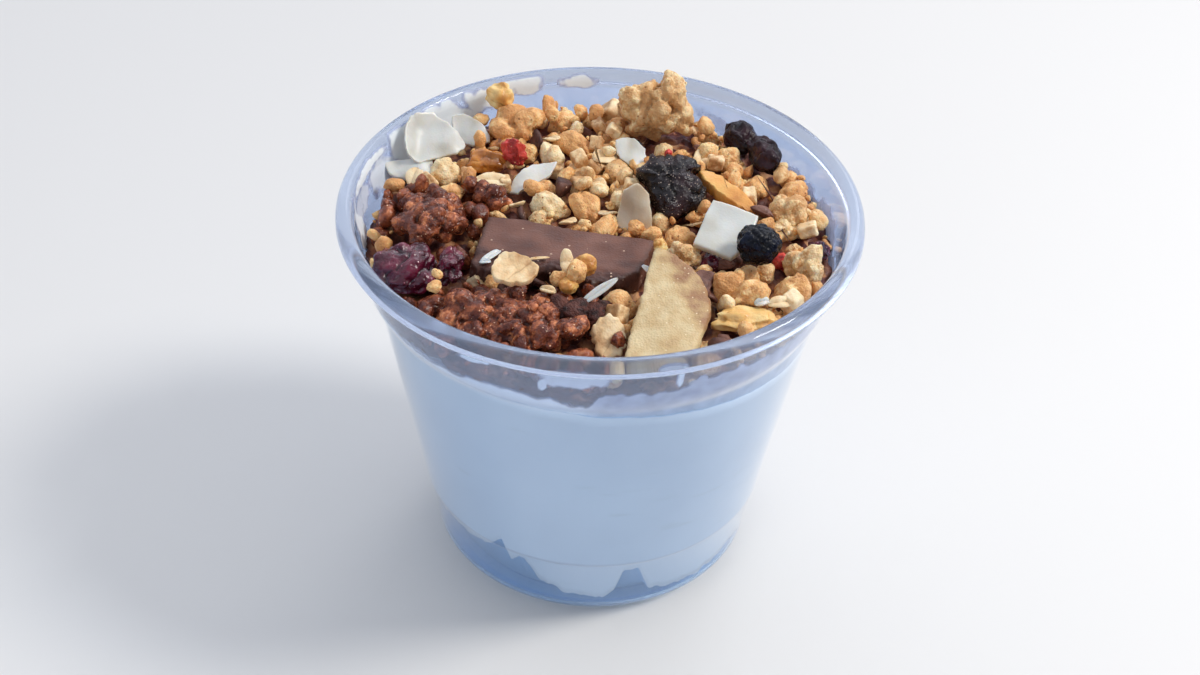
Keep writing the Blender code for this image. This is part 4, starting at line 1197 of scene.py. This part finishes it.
# Small things on the toppings: kind, place, size, turn and tone.
DETAILS = (
    ("oat", (-5.7, -17.6, 75.6), (2.6, 4.6, 1.0), (55, 0, 8), 0.95),
    ("corn", (-2.5, -17.6, 74.8), (4.4, 3.6, 4.6), (0, 20, 10), 0.35),
    ("nugget", (-4.0, -19.8, 74.6), (3.8, 3.8, 5.2), (10, 0, 20), 0.7),
    ("corn", (-5.2, -21.6, 73.0), (4.0, 3.4, 3.2), (0, 0, 30), 0.45),
    ("nugget", (-7.2, -20.0, 73.4), (3.2, 2.6, 3.6), (0, 20, 0), 0.8),
    ("oat", (-8.9, -22.8, 73.2), (3.4, 1.6, 1.0), (20, 0, -20), 0.6),
    ("shred", (0.2, -25.2, 75.0), (7.6, 1.7, 1.0), (25, -30, 22), 0.9),
    ("shred", (-19.7, -12.9, 73.0), (5.6, 1.6, 0.5), (0, 0, 52), 0.95),
    ("shred", (-20.6, -14.6, 73.0), (2.2, 1.6, 0.5), (0, 0, 10), 0.95),
    ("oat", (-10.9, -12.9, 72.8), (4.0, 0.8, 0.4), (0, 0, 12), 0.6),
    ("shred", (8.7, -16.0, 73.4), (2.4, 1.2, 0.6), (0, 20, -40), 0.9),
    ("nugget", (-28.6, -22.2, 75.2), (2.2, 2.0, 1.8), (0, 0, 0), 0.6),
    ("nugget", (-28.9, -25.0, 74.4), (2.8, 2.4, 2.2), (0, 0, 40), 0.7),
    ("oat", (32.7, -22.2, 71.6), (4.6, 2.4, 1.0), (25, 0, 12), 0.7),
    ("shred", (29.4, -22.6, 72.0), (3.2, 1.8, 1.4), (20, 0, 20), 0.8),
    ("corn", (11.0, -12.6, 76.0), (2.6, 2.4, 3.4), (0, -20, 0), 0.6),
    ("red", (12.8, 21.9, 73.8), (1.6, 1.6, 1.6), (0, 0, 0), 0.7),
    ("oat", (0.5, 22.0, 72.6), (5.6, 3.6, 0.9), (24, 10, 30), 0.8),
    ("oat", (-20.9, 11.9, 73.0), (6.2, 3.0, 1.1), (25, 8, 10), 0.9),
    ("oat", (19.6, 22.8, 72.6), (5.4, 3.6, 0.9), (18, -14, 60), 0.7),
    ("dark", (-6.2, -27.0, 72.0), (5.4, 4.6, 3.0), (0, 10, -12), 0.5),
    ("dark", (-3.2, -28.0, 72.3), (6.0, 4.8, 2.8), (10, 0, 25), 0.6),
    ("dark", (-0.6, -28.2, 71.8), (4.8, 4.4, 2.8), (0, -12, 60), 0.5),
    ("dark", (-7.4, -24.6, 71.8), (4.2, 3.4, 3.0), (0, 0, 30), 0.3),
    ("dark", (1.0, -24.6, 70.8), (4.2, 3.4, 3.0), (0, 0, 60), 0.4),
    ("crisp", (3.8, -33.1, 70.0), (2.8, 2.8, 3.2), (0, 0, 0), 0.6),
    ("chocolate", (30.5, 5.4, 71.6), (4.8, 3.0, 2.8), (0, 20, -30), 0.9),
    ("chocolate", (22.6, -8.8, 69.6), (4.6, 3.4, 2.6), (0, 0, 20), 0.9),
)


def add_cube(bm, spot, size, turn, tone):
    """A small diced piece with worn corners, paler on its cut sides."""
    layer = toned(bm)
    matrix = turned(turn)
    for vert in add_ball(bm, 4):
        way = vert.co.normalized()
        reach = sum(abs(way[i]) ** 8 for i in range(3)) ** -0.125
        bump, own = crumbly(way, 0.4, spot[0])
        reach += 0.16 * wave(way, 0.7, spot[0]) + 0.05 * (bump - 0.7)
        place = Vector(way[i] * reach * size[i] / 2 for i in range(3))
        vert.co = Vector(spot) + matrix @ place
        cut = 0.2 if abs(way.x) > abs(way.z) else -0.15
        vert[layer] = clamp(tone + cut + 0.25 * (own - 0.5))


def add_flake(bm, spot, size, turn, tone, seed):
    """A rolled oat: a thin curled oval with a crease along it."""
    layer = toned(bm)
    matrix = turned(turn)
    made = bmesh.ops.create_uvsphere(bm, u_segments=20, v_segments=12, radius=1.0)["verts"]
    for vert in made:
        x, y, z = vert.co
        reach = 1 + 0.2 * wave(Vector((x, y, 0)), 0.8, seed)
        x, y = x * reach, y * reach
        curl = 0.9 * x * x * wave(Vector((1, 0, 0)), 1.0, seed) + 0.7 * y * y
        crease = 0.35 * math.exp(-((y / 0.16) ** 2))
        place = Vector((x * size[0] / 2, y * size[1] / 2, z * size[2] / 2))
        place.z += (0.5 * curl - 0.35 - (crease if z > 0 else 0.0)) * size[2]
        vert.co = Vector(spot) + matrix @ place
        vert[layer] = clamp(tone + 0.2 * wave(Vector((x, y, 0)), 0.4, seed + 1))


# How angular the grains of a kind are, from 0 to 1. Nuggets differ among themselves.
CHUNKY = {"pale": 0.5, "dark": 0.7, "chocolate": 0.9, "crisp": 0.5}


def add_piece(kinds, kind, spot, size, turn, tone, seed, detail):
    """Adds a loose piece to the bmesh that gathers its kind."""
    bm = kinds[kind]
    if kind == "crisp":
        tone *= 0.65
    if kind == "cube":
        add_cube(bm, spot, [0.85 * s for s in size], turn, tone)
    elif kind in ("oat", "shred"):
        add_flake(bm, spot, size, turn, tone, seed)
    else:
        chunky = 0.15 + 0.25 * (seed % 3) if kind == "nugget" else CHUNKY.get(kind, 0.15)
        add_grain(bm, spot, size, turn, tone, seed, detail, 4, 0.5, chunky)


def lay_shown(bed, kinds, rng):
    """The loose pieces that the eye picks out, each in its own place."""
    for k, (x, y, length, width, height, kind) in enumerate(SHOWN):
        z = heap_top(x, y) + 0.26 * height
        turn = (rng.uniform(-25, 25), rng.uniform(-25, 25), rng.uniform(0, 180))
        reach = 0.36 * (length + width) / 2
        wall = inner_radius(z) - 0.5 - 0.5 * length
        shrink = min(1.0, wall / max(1e-6, math.hypot(x, y)))
        x, y = x * shrink, y * shrink
        size = (length, width, height)
        add_piece(kinds, kind, (x, y, z), size, turn, rng.uniform(0.35, 0.85), k, 4)
        bed.cover(x, y, z, reach * 1.25)


def kind_at(x, y, rng):
    """What a loose piece is likely to be at this place on the heap."""
    front_left = x < 2 and y < -18
    left = x < -22 and y < 12
    middle = abs(x) < 12 and 2 < y < 30
    draw = rng.random()
    if front_left or left:
        return "crisp" if draw < 0.92 else "nugget"
    if draw < (0.3 if middle else 0.52):
        return "nugget"
    if draw < 0.66:
        return "pale"
    if draw < 0.78:
        return "oat"
    if draw < 0.96:
        return "cube"
    return "chocolate"


def lay_details(kinds):
    """The small things that lie on the toppings, each in its own place."""
    for k, (kind, spot, size, turn, tone) in enumerate(DETAILS):
        add_piece(kinds, kind, spot, size, turn, tone, 300 + k, 4)


def random_spot(rng, most):
    """A place within this radius, anywhere as likely: its x, y and radius."""
    reach = most * math.sqrt(rng.random())
    return (*round_at(reach, rng.uniform(0, 2 * math.pi)), reach)


def lay_fill(bed, kinds, rng):
    """Loose pieces dropped one by one into the lowest places left between the toppings."""
    laid = 0
    for k in range(FILL_TRIES):
        if laid >= FILL_COUNT:
            break
        radius = rng.uniform(*FILL_RADII)
        x, y, reach = random_spot(rng, 43.4 - radius)
        if bed.topping_near(x, y, 0.45 * radius):
            continue
        z = bed.drop(x, y, radius) - 0.3 * radius
        ceiling = FILL_TOP + FILL_BACK_RISE * smooth((y + 10) / 35) + rng.uniform(-0.6, 1.6)
        if z + radius > ceiling or reach + radius > inner_radius(z) + 0.2:
            continue
        size = [2 * radius * rng.uniform(low, low + 0.3) for low in (1.0, 0.8, 0.75)]
        turn = [rng.uniform(0, 180) for _ in range(3)]
        kind = kind_at(x, y, rng)
        detail = 4 if radius > 2.2 else 3
        if kind == "oat":
            size = [2.5 * radius, 2.0 * radius, 0.9]
            turn = (rng.uniform(-35, 35), rng.uniform(-35, 35), rng.uniform(0, 180))
        tone = rng.uniform(0.15, 0.95)
        add_piece(kinds, kind, (x, y, z), size, turn, tone, 400 + k, detail)
        bed.cover(x, y, z, radius)
        laid += 1


def lay_crumbs(bed, kinds, rng):
    """Crumbs of cereal that have run down between the pieces."""
    for k in range(CRUMB_TRIES):
        x, y, _ = random_spot(rng, 43.0)
        radius = rng.uniform(0.4, 1.15) ** 1.3
        if bed.topping_near(x, y, 0.5):
            continue
        z = bed.drop(x, y, radius) - 0.4 * radius
        if z > heap_top(x, y) + 3.0:
            continue
        size = [2 * radius * rng.uniform(0.6, 1.5) for _ in range(3)]
        turn = [rng.uniform(0, 180) for _ in range(3)]
        kind = "crisp_crumb" if x < 2 and y < -14 else "crumb"
        tone = rng.uniform(0.1, 1.0)
        add_grain(kinds[kind], (x, y, z), size, turn, tone, k, 2, 2, 0.4, 0.8)
        bed.cover(x, y, z, 0.8 * radius)


# The look of a kind of loose piece, where the kind isn't itself a look's name.
KIND_LOOKS = {
    "nugget": "granola", "crumb": "granola", "pale": "pale_granola", "crisp": "crisps",
    "crisp_crumb": "crisps", "dark_berry": "cranberry", "cube": "oat", "red": "red_fruit",
    "chocolate": "milk_chocolate", "shred": "coconut", "dark": "dark_crumble",
}


def make_heap(bed):
    """All the loose cereal, each kind gathered in one piece."""
    rng = random.Random(31)
    kinds = defaultdict(bmesh.new)
    lay_shown(bed, kinds, rng)
    lay_details(kinds)
    lay_fill(bed, kinds, rng)
    lay_crumbs(bed, kinds, rng)
    for kind, bm in kinds.items():
        finished(f"loose_{kind}_pieces", bm, KIND_LOOKS.get(kind, kind))


# ---------------------------------------------------------------- the toppings

SLAB = ((-15.7, 5.8), (-9.0, 6.8), (-1.2, 6.3), (7.6, 6.6), (16.0, 7.2), (15.8, 1.0),
        (15.2, -4.0), (12.2, -6.4), (8.2, -9.4), (6.4, -8.8), (3.5, -6.8), (-0.3, -6.3),
        (-3.3, -7.4), (-6.0, -10.2), (-8.6, -11.2), (-10.6, -10.8), (-14.7, -9.8))
SLAB_FRONT = -3.5
SLAB_THICKNESS = 4.6
SLAB_SPOT = (-6.9, -8.2, 69.7)
SLAB_TURN = (-1.5, 0.5, -12.3)
# Darker rubbed spots on the slab: place, and half width both ways.
SLAB_SMUDGES = ((12.4, -2.6, 1.6, 1.3), (1.6, -4.6, 1.6, 1.0), (4.4, -4.0, 1.2, 0.8))
WEDGE = ((-1.6, 15.2), (1.8, 13.4), (5.5, 10.3), (7.8, 5.8), (8.5, 0.8), (7.0, -4.5),
         (5.6, -9.5), (3.0, -13.4), (-2.0, -14.4), (-7.0, -13.9), (-6.4, -6.5), (-4.3, 3.0),
         (-3.1, 10.2))
SQUARE = ((-2.4, 6.0), (6.0, 2.8), (4.6, -1.8), (1.1, -6.2), (-6.0, -3.5))
CHIP_LEFT = ((-5.6, 3.2), (-1.6, 5.2), (3.5, 2.9), (5.7, 0.5), (4.4, -1.6), (0.5, -4.0),
             (-2.0, -5.6), (-4.4, -4.6), (-5.9, -1.0))
CHIP_WALL = ((-4.6, 1.0), (-1.6, 2.3), (4.1, 3.2), (4.8, 0.0), (3.9, -2.2), (-0.3, -1.8),
             (-3.6, -1.0))
CHIP_BACK = ((-3.7, 1.8), (-1.5, 3.1), (2.4, 1.6), (4.5, -1.6), (1.1, -3.0), (-2.0, -2.4))
CHIP_MIDDLE = ((-4.6, -3.1), (-3.6, -0.2), (-0.3, 3.3), (4.6, 4.3), (3.2, 1.1), (-0.1, -1.4),
               (-2.7, -3.9))
CHIP_UPRIGHT = ((-2.4, 3.4), (0.2, 4.7), (2.4, 2.5), (3.2, -3.5), (-0.2, -4.4), (-3.7, -3.7))
CHIP_SMALL = ((-3.0, 2.1), (0.3, 2.8), (2.6, 0.9), (3.2, -2.0), (0.5, -3.2), (-2.4, -1.4))
STRIP = ((-5.5, 5.0), (-3.4, 5.3), (-1.2, 4.2), (0.4, 2.0), (2.4, 0.5), (4.4, -2.2),
         (5.4, -4.9), (3.9, -5.2), (1.2, -3.4), (-1.0, -1.2), (-3.2, 1.2), (-4.6, 2.6))
FLAKE = ((-3.1, 2.4), (-1.0, 3.9), (1.1, 3.4), (2.9, 1.4), (3.0, -1.5), (1.3, -3.5),
         (-1.8, -3.7), (-2.9, -1.7))
OAT = ((-3.9, -0.4), (-2.6, 2.7), (-0.2, 3.0), (2.8, 1.8), (4.1, -0.5), (2.6, -2.7),
       (-0.5, -3.2), (-2.9, -2.5))

PRUNE = ((-7.2, 2.8), (-3.9, 7.0), (3.3, 7.2), (5.9, 4.8), (4.5, 2.8), (7.3, -0.5),
         (5.8, -4.2), (-0.5, -7.2), (-3.9, -3.1), (-4.8, 0.9))

# Flat pieces: node, look, outline, section, thickness, dishing along X and Y, how far
# their sides bend, how ragged they are, and their turn.
THIN = (
    ("coconut_chip_wall", "coconut", CHIP_WALL, CHIP, 0.7, (0, -0.04), 0.4, 0.2, (22, 6, 0)),
    ("coconut_chip_left", "coconut", CHIP_LEFT, CHIP, 0.7, (0.02, 0.02), 0.5, 0.3, (29, 19, 0)),
    ("coconut_chip_back", "coconut", CHIP_BACK, CHIP, 0.7, (0.02, 0), 0.5, 0.3, (35, 11, 0)),
    ("coconut_chip_middle", "coconut", CHIP_MIDDLE, CHIP, 0.7, (-0.02, 0), 0.3, 0.2, (19, 0, 0)),
    ("coconut_chip_upright", "coconut_skin", CHIP_UPRIGHT, CHIP, 0.7, (-0.06, 0), 0.4, 0.2,
     (68, 0, 0)),
    ("coconut_chip_small", "coconut", CHIP_SMALL, CHIP, 0.7, (-0.03, 0), 0.6, 0.3, (31, 0, 0)),
    ("coconut_square", "coconut", SQUARE, CHIP, 1.4, (0, 0), 0.12, 0.12, (24, 0, 0)),
    ("mango_strip", "mango", STRIP, LEAF, 2.6, (0, 0), 0.8, 0.35, (11, 0, 0)),
    ("corn_flake_front", "oat", FLAKE, LEAF, 1.5, (-0.05, 0.03), 0.8, 0.6, (38, 0, 10)),
    ("banana_chip", "banana", WEDGE, LEAF, 2.0, (-0.01, 0), 0.7, 0.35, (10, 0, 0)),
    ("prune_piece", "prune", PRUNE, PILLOW, 7.0, (0.01, 0), 0.35, 0.5, (26, 0, 0)),
    ("oat_flake", "oat", OAT, LEAF, 1.5, (0.03, 0.03), 0.9, 0.3, (19, 0, 0)),
)

# By slot, a flat piece's packed bumps, their depth and size, and the depth of its folds.
SURFACES = {
    "coconut": (0.03, 2.5, 0.0), "banana": (0.08, 1.0, 0.0), "mango": (0.12, 2.6, 0.0),
    "oat": (0.15, 1.6, 0.22), "prune": (0.5, 1.3, 0.5),
}

# Wrinkled dried fruit: node, look, size, unevenness, seed, turn, size and depth of its
# folds, depth of its fine wrinkles, and depth of its packed bumps.
DRIED = (
    ("cranberry_left", "cranberry", (12, 10.6, 8.4), 0.26, 5, (0, 10, 12), 5.0, 0.7, 0.2, 0.12),
    ("cranberry_lobe", "cranberry", (4.8, 7.6, 6), 0.3, 6, (0, 0, -6), 3.6, 0.5, 0.18, 0.1),
    ("cranberry_right", "cranberry", (5, 4.6, 4.2), 0.3, 7, (0, 0, 0), 4.0, 0.4, 0.1, 0.1),
    ("raisin_back", "raisin", (6.2, 7.8, 6), 0.2, 9, (0, 0, 20), 3.6, 0.26, 0.12, 0.1),
    ("raisin_side", "raisin", (5.8, 9, 6), 0.2, 10, (0, 0, 25), 3.8, 0.3, 0.12, 0.1),
    ("blueberry", "blueberry", (8.4, 8, 7.6), 0.12, 14, (0, 0, 0), 5.0, 0.25, 0.05, 0.36),
    ("golden_raisin", "amber", (7.8, 5.4, 5), 0.25, 16, (0, 0, 0), 4.5, 0.35, 0.06, 0.0),
    ("yellow_fruit", "corn", (5.8, 4.8, 6), 0.25, 17, (0, 0, 0), 4.0, 0.3, 0.06, 0.0),
    ("red_fruit", "red_fruit", (4.8, 3.4, 6.4), 0.3, 18, (0, -20, 0), 3.4, 0.25, 0.12, 0.1),
    ("corn_flake_right", "corn", (12.6, 5.6, 4), 0.3, 15, (20, 0, 4), 6.5, 0.35, 0.04, 0.05),
)

# Clusters of grains stuck together: node, look, smallest and largest grain, spacing,
# depth of their fine bumps, range of tones, seed.
CLUSTERS = (
    ("crisp_cluster_front", "crisps", (1.8, 4.8), 2.1, 0.1, (0.1, 0.95), 11),
    ("crisp_cluster_left", "crisps", (1.8, 4.4), 2.0, 0.1, (0.1, 0.95), 12),
    ("crisp_cluster_small", "crisps", (1.8, 3.8), 1.9, 0.1, (0.1, 0.95), 13),
    ("granola_cluster_back", "pale_granola", (2.2, 4.4), 2.3, 0.12, (0.0, 0.65), 14),
    ("granola_cluster_left", "granola", (3.4, 5.6), 3.2, 0.06, (0.3, 0.9), 15),
    ("granola_lump_right", "granola", (4.8, 6.8), 4.4, 0.05, (0.35, 0.75), 16),
    ("granola_lump_corner", "pale_granola", (2.6, 4.6), 2.6, 0.12, (0.3, 1.0), 17),
    ("granola_lump_far", "pale_granola", (2.4, 4.4), 2.4, 0.1, (0.1, 0.75), 18),
    ("granola_lump_edge", "granola", (4.6, 6.0), 4.4, 0.06, (0.5, 0.95), 11),
    ("granola_lump_middle", "pale_granola", (2.4, 4.0), 2.4, 0.12, (0.2, 0.9), 12),
)
# Grains that stand out of a cluster: its node, place, size and turn.
PROUD = (
    ("granola_cluster_back", (13.4, 34.0, 82.4), (5.6, 4.0, 4.2), (0, -12, 0)),
    ("granola_cluster_back", (4.6, 31.4, 80.8), (5.2, 4.0, 3.8), (0, 14, 0)),
)


def topping(node, suffix, bm, look):
    """Finishes a topping in the room of its CAD node."""
    finished(f"{node}_{suffix}", fitted(bm, node), look, node)


def make_slab():
    """The chocolate: a bar end with worn edges and a rough, chipped front side."""
    bm = thin_piece(SLAB, BRICK, SLAB_THICKNESS, (0, 0), 0.1, 4, 0.12, 0.32, 300)
    layer = toned(bm)
    for vert in bm.verts:
        place = vert.co.copy()
        broken = smooth((SLAB_FRONT - place.y) / 2.5)
        side = smooth(1.2 - place.z / (SLAB_THICKNESS / 2))
        jag = pebble(place, 1.6, 42) - 0.7 + 0.8 * wave(place, 2.8, 43)
        vert.co.y += 1.5 * broken * side * jag
        vert.co.z -= 0.35 * broken * (1 - pebble(place, 1.0, 45)) + 0.03 * wave(place, 3.0, 44)
        smudge = max(
            math.exp(-((place.x - x) ** 2 / wide**2 + (place.y - y) ** 2 / tall**2))
            for x, y, wide, tall in SLAB_SMUDGES
        )
        vert[layer] = clamp(0.6 + 0.3 * wave(place, 3.5, 46) - 0.45 * broken - 0.5 * smudge)
    moved(bm, SLAB_TURN, SLAB_SPOT)
    finished("chocolate_slab_bar", bm, "milk_chocolate", "chocolate_slab")


def make_chunk():
    """The smaller broken piece of chocolate beside the banana chip."""
    bm = lump((7.6, 6.4, 5.0), 13, 0.5, 1.4, 5)
    tint(bm, 0.6, 0.4, 2.0, 47)
    carved(bm, lambda place: 0.25 * (1 - pebble(place, 1.6, 48)))
    topping("chocolate_chunk", "broken", bm, "milk_chocolate")


def make_thin():
    """The flat pieces: each from its outline, bumpy as its kind is."""
    for k, (node, look, outline, section, thickness, dish, bend, ragged, turn) in enumerate(THIN):
        warp = 1.3 if node.startswith("coconut_chip") else 0.4
        bm = thin_piece(outline, section, thickness, dish, warp, len(node), bend, ragged)
        rough, size, crease = SURFACES[SLOTS.get(look, look)]
        tint(bm, 0.6, 0.5, 4.0, 50 + k)
        if node == "banana_chip":
            layer = toned(bm)
            for vert in bm.verts:
                ripe = smooth((vert.co.x + 0.45 * vert.co.y - 2.0) / 6.0)
                vert[layer] = clamp(0.75 - 0.6 * ripe + 0.4 * wave(vert.co, 2.4, 58))
        carved(bm, lambda place: rough * (1 - pebble(place, size, 60 + k)))
        if crease:
            carved(bm, lambda place: crease * (1 - fold(place, 3.4, 57)) ** 2)
        topping(node, "shaped", moved(bm, turn), look)


def make_dried():
    """The dried fruit: uneven lumps with folds, fine wrinkles and packed bumps."""
    for node, look, size, rough, seed, turn, wide, deep, fine, bumps in DRIED:
        bm = lump(size, seed, rough, 1.8, 6)
        tint(bm, 0.5, 0.6, 2.4, seed + 3)

        def wrinkles(place):
            bent = place + Vector([0.8 * wave(place, 2.0, seed + 20 + i) for i in range(3)])
            return (deep * (1 - fold(bent, wide, seed)) ** 1.6
                    + fine * (1 - fold(bent, wide * 0.32, seed + 5))
                    + bumps * (1 - pebble(place, 1.15, seed + 6)))

        topping(node, "wrinkled", moved(carved(bm, wrinkles), turn), look)


def make_clusters():
    """The clusters: grains all over each one's solid, melted together."""
    for node, look, grain, spacing, bumps, tones, seed in CLUSTERS:
        rng = random.Random(seed)
        crisp = look == "crisps"
        core = solid_of(node)
        places = spread_over(core, spacing, rng)
        bm = carved(core, lambda place: 0.4 * sum(grain) / 2)
        toned(bm)
        for k, (point, way) in enumerate(places):
            size = rng.uniform(*grain)
            spot = point - way * 0.42 * size
            shape = [size * rng.uniform(0.9, 1.3), size, size * rng.uniform(0.8, 1.1)]
            turn = [rng.uniform(0, 180) for _ in range(3)]
            chunky = rng.uniform(0.2, 0.6 if crisp else 0.8)
            tone = rng.uniform(*tones)
            add_grain(bm, spot, shape, turn, tone, seed * 50 + k, 3, 2, 0.3, chunky)
        for k, (owner, spot, shape, turn) in enumerate(PROUD):
            if owner == node:
                add_grain(bm, spot, shape, turn, 0.6, 900 + k, 4, 3, 0.4, 0.3)
        bm = melted(bm)
        layer = toned(bm)
        for vert in bm.verts:
            own = crumbly(vert.co, 1.3, seed)[1]
            vert[layer] = clamp(vert[layer] + 0.3 * (own - 0.5))
        wide = 0.9 if crisp else 1.3
        carved(bm, lambda place: bumps * (1 - pebble(place, wide, seed) + wave(place, 0.6, seed)))
        topping(node, "grains", bm, look)


# ---------------------------------------------------------------- floor, light, camera


def make_floor():
    bm = bmesh.new()
    bmesh.ops.create_grid(bm, x_segments=8, y_segments=8, size=3.0)
    floor = placed("floor", mesh_of("floor", bm))
    made, tree, shader, _ = new_finish("pale_floor")
    wire(tree, shader, {"Base Color": srgb(226, 224, 221), "Roughness": 0.8})
    floor.data.materials.append(made)


def add_area_light(name, spot, size, power, colour):
    """A round lamp that faces the cup."""
    lamp = bpy.data.lights.new(name, "AREA")
    lamp.shape = "DISK"
    lamp.size = size
    lamp.energy = power
    lamp.color = colour
    placed_lamp = placed(name, lamp)
    placed_lamp.location = spot
    way = Vector((0, 0, 0.05)) - Vector(spot)
    placed_lamp.rotation_euler = way.to_track_quat("-Z", "Y").to_euler()


def make_light():
    """A pale studio, brighter from the back and above, with one lamp from the right."""
    world = bpy.data.worlds.new("studio")
    world.use_nodes = True
    tree = world.node_tree
    values = {0: put(tree, "TexCoord", {}).outputs["Generated"], 1: (0.0, 0.75, 0.66)}
    lit = put(tree, "VectorMath", values, operation="DOT_PRODUCT").outputs["Value"]
    strength = stretched(tree, lit, 0.0, 1.0, 0.34, 1.15)
    wire(tree, tree.nodes["Background"], {"Color": srgb(236, 242, 255), "Strength": strength})
    bpy.context.scene.world = world
    add_area_light("key", (0.55, 0.02, 0.62), 0.22, 3.9, (1.0, 0.97, 0.92))
    add_area_light("back", (0.3, 0.75, 0.6), 0.4, 1.0, (0.95, 0.97, 1.0))
    add_area_light("fill", (-0.35, -0.75, 0.3), 0.8, 1.5, (0.9, 0.96, 1.0))


def make_camera():
    """The photograph's view: from the front, 38 degrees down, a long lens with a slight roll."""
    lens = bpy.data.cameras.new("camera")
    lens.lens = 63.4
    lens.sensor_width = 36.0
    lens.clip_start = 0.01
    camera = placed("camera", lens)
    pitch = turned((90 - 37.93, 0, -0.12))
    rolled = pitch @ Matrix.Rotation(math.radians(1.95), 3, "Z")
    camera.matrix_world = Matrix.Translation((0, -0.3242, 0.2975)) @ rolled.to_4x4()
    bpy.context.scene.camera = camera


def main():
    make_cup()
    make_yogurt()
    make_film()
    make_heap_core()
    make_slab()
    make_chunk()
    make_thin()
    make_dried()
    make_clusters()
    bed = Bed()
    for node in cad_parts:
        if node not in ("cup", "yogurt", "cereal_heap"):
            bed.add_topping(node)
    make_heap(bed)
    make_floor()
    make_light()
    make_camera()
    bpy.context.scene.view_settings.view_transform = "Standard"


main()
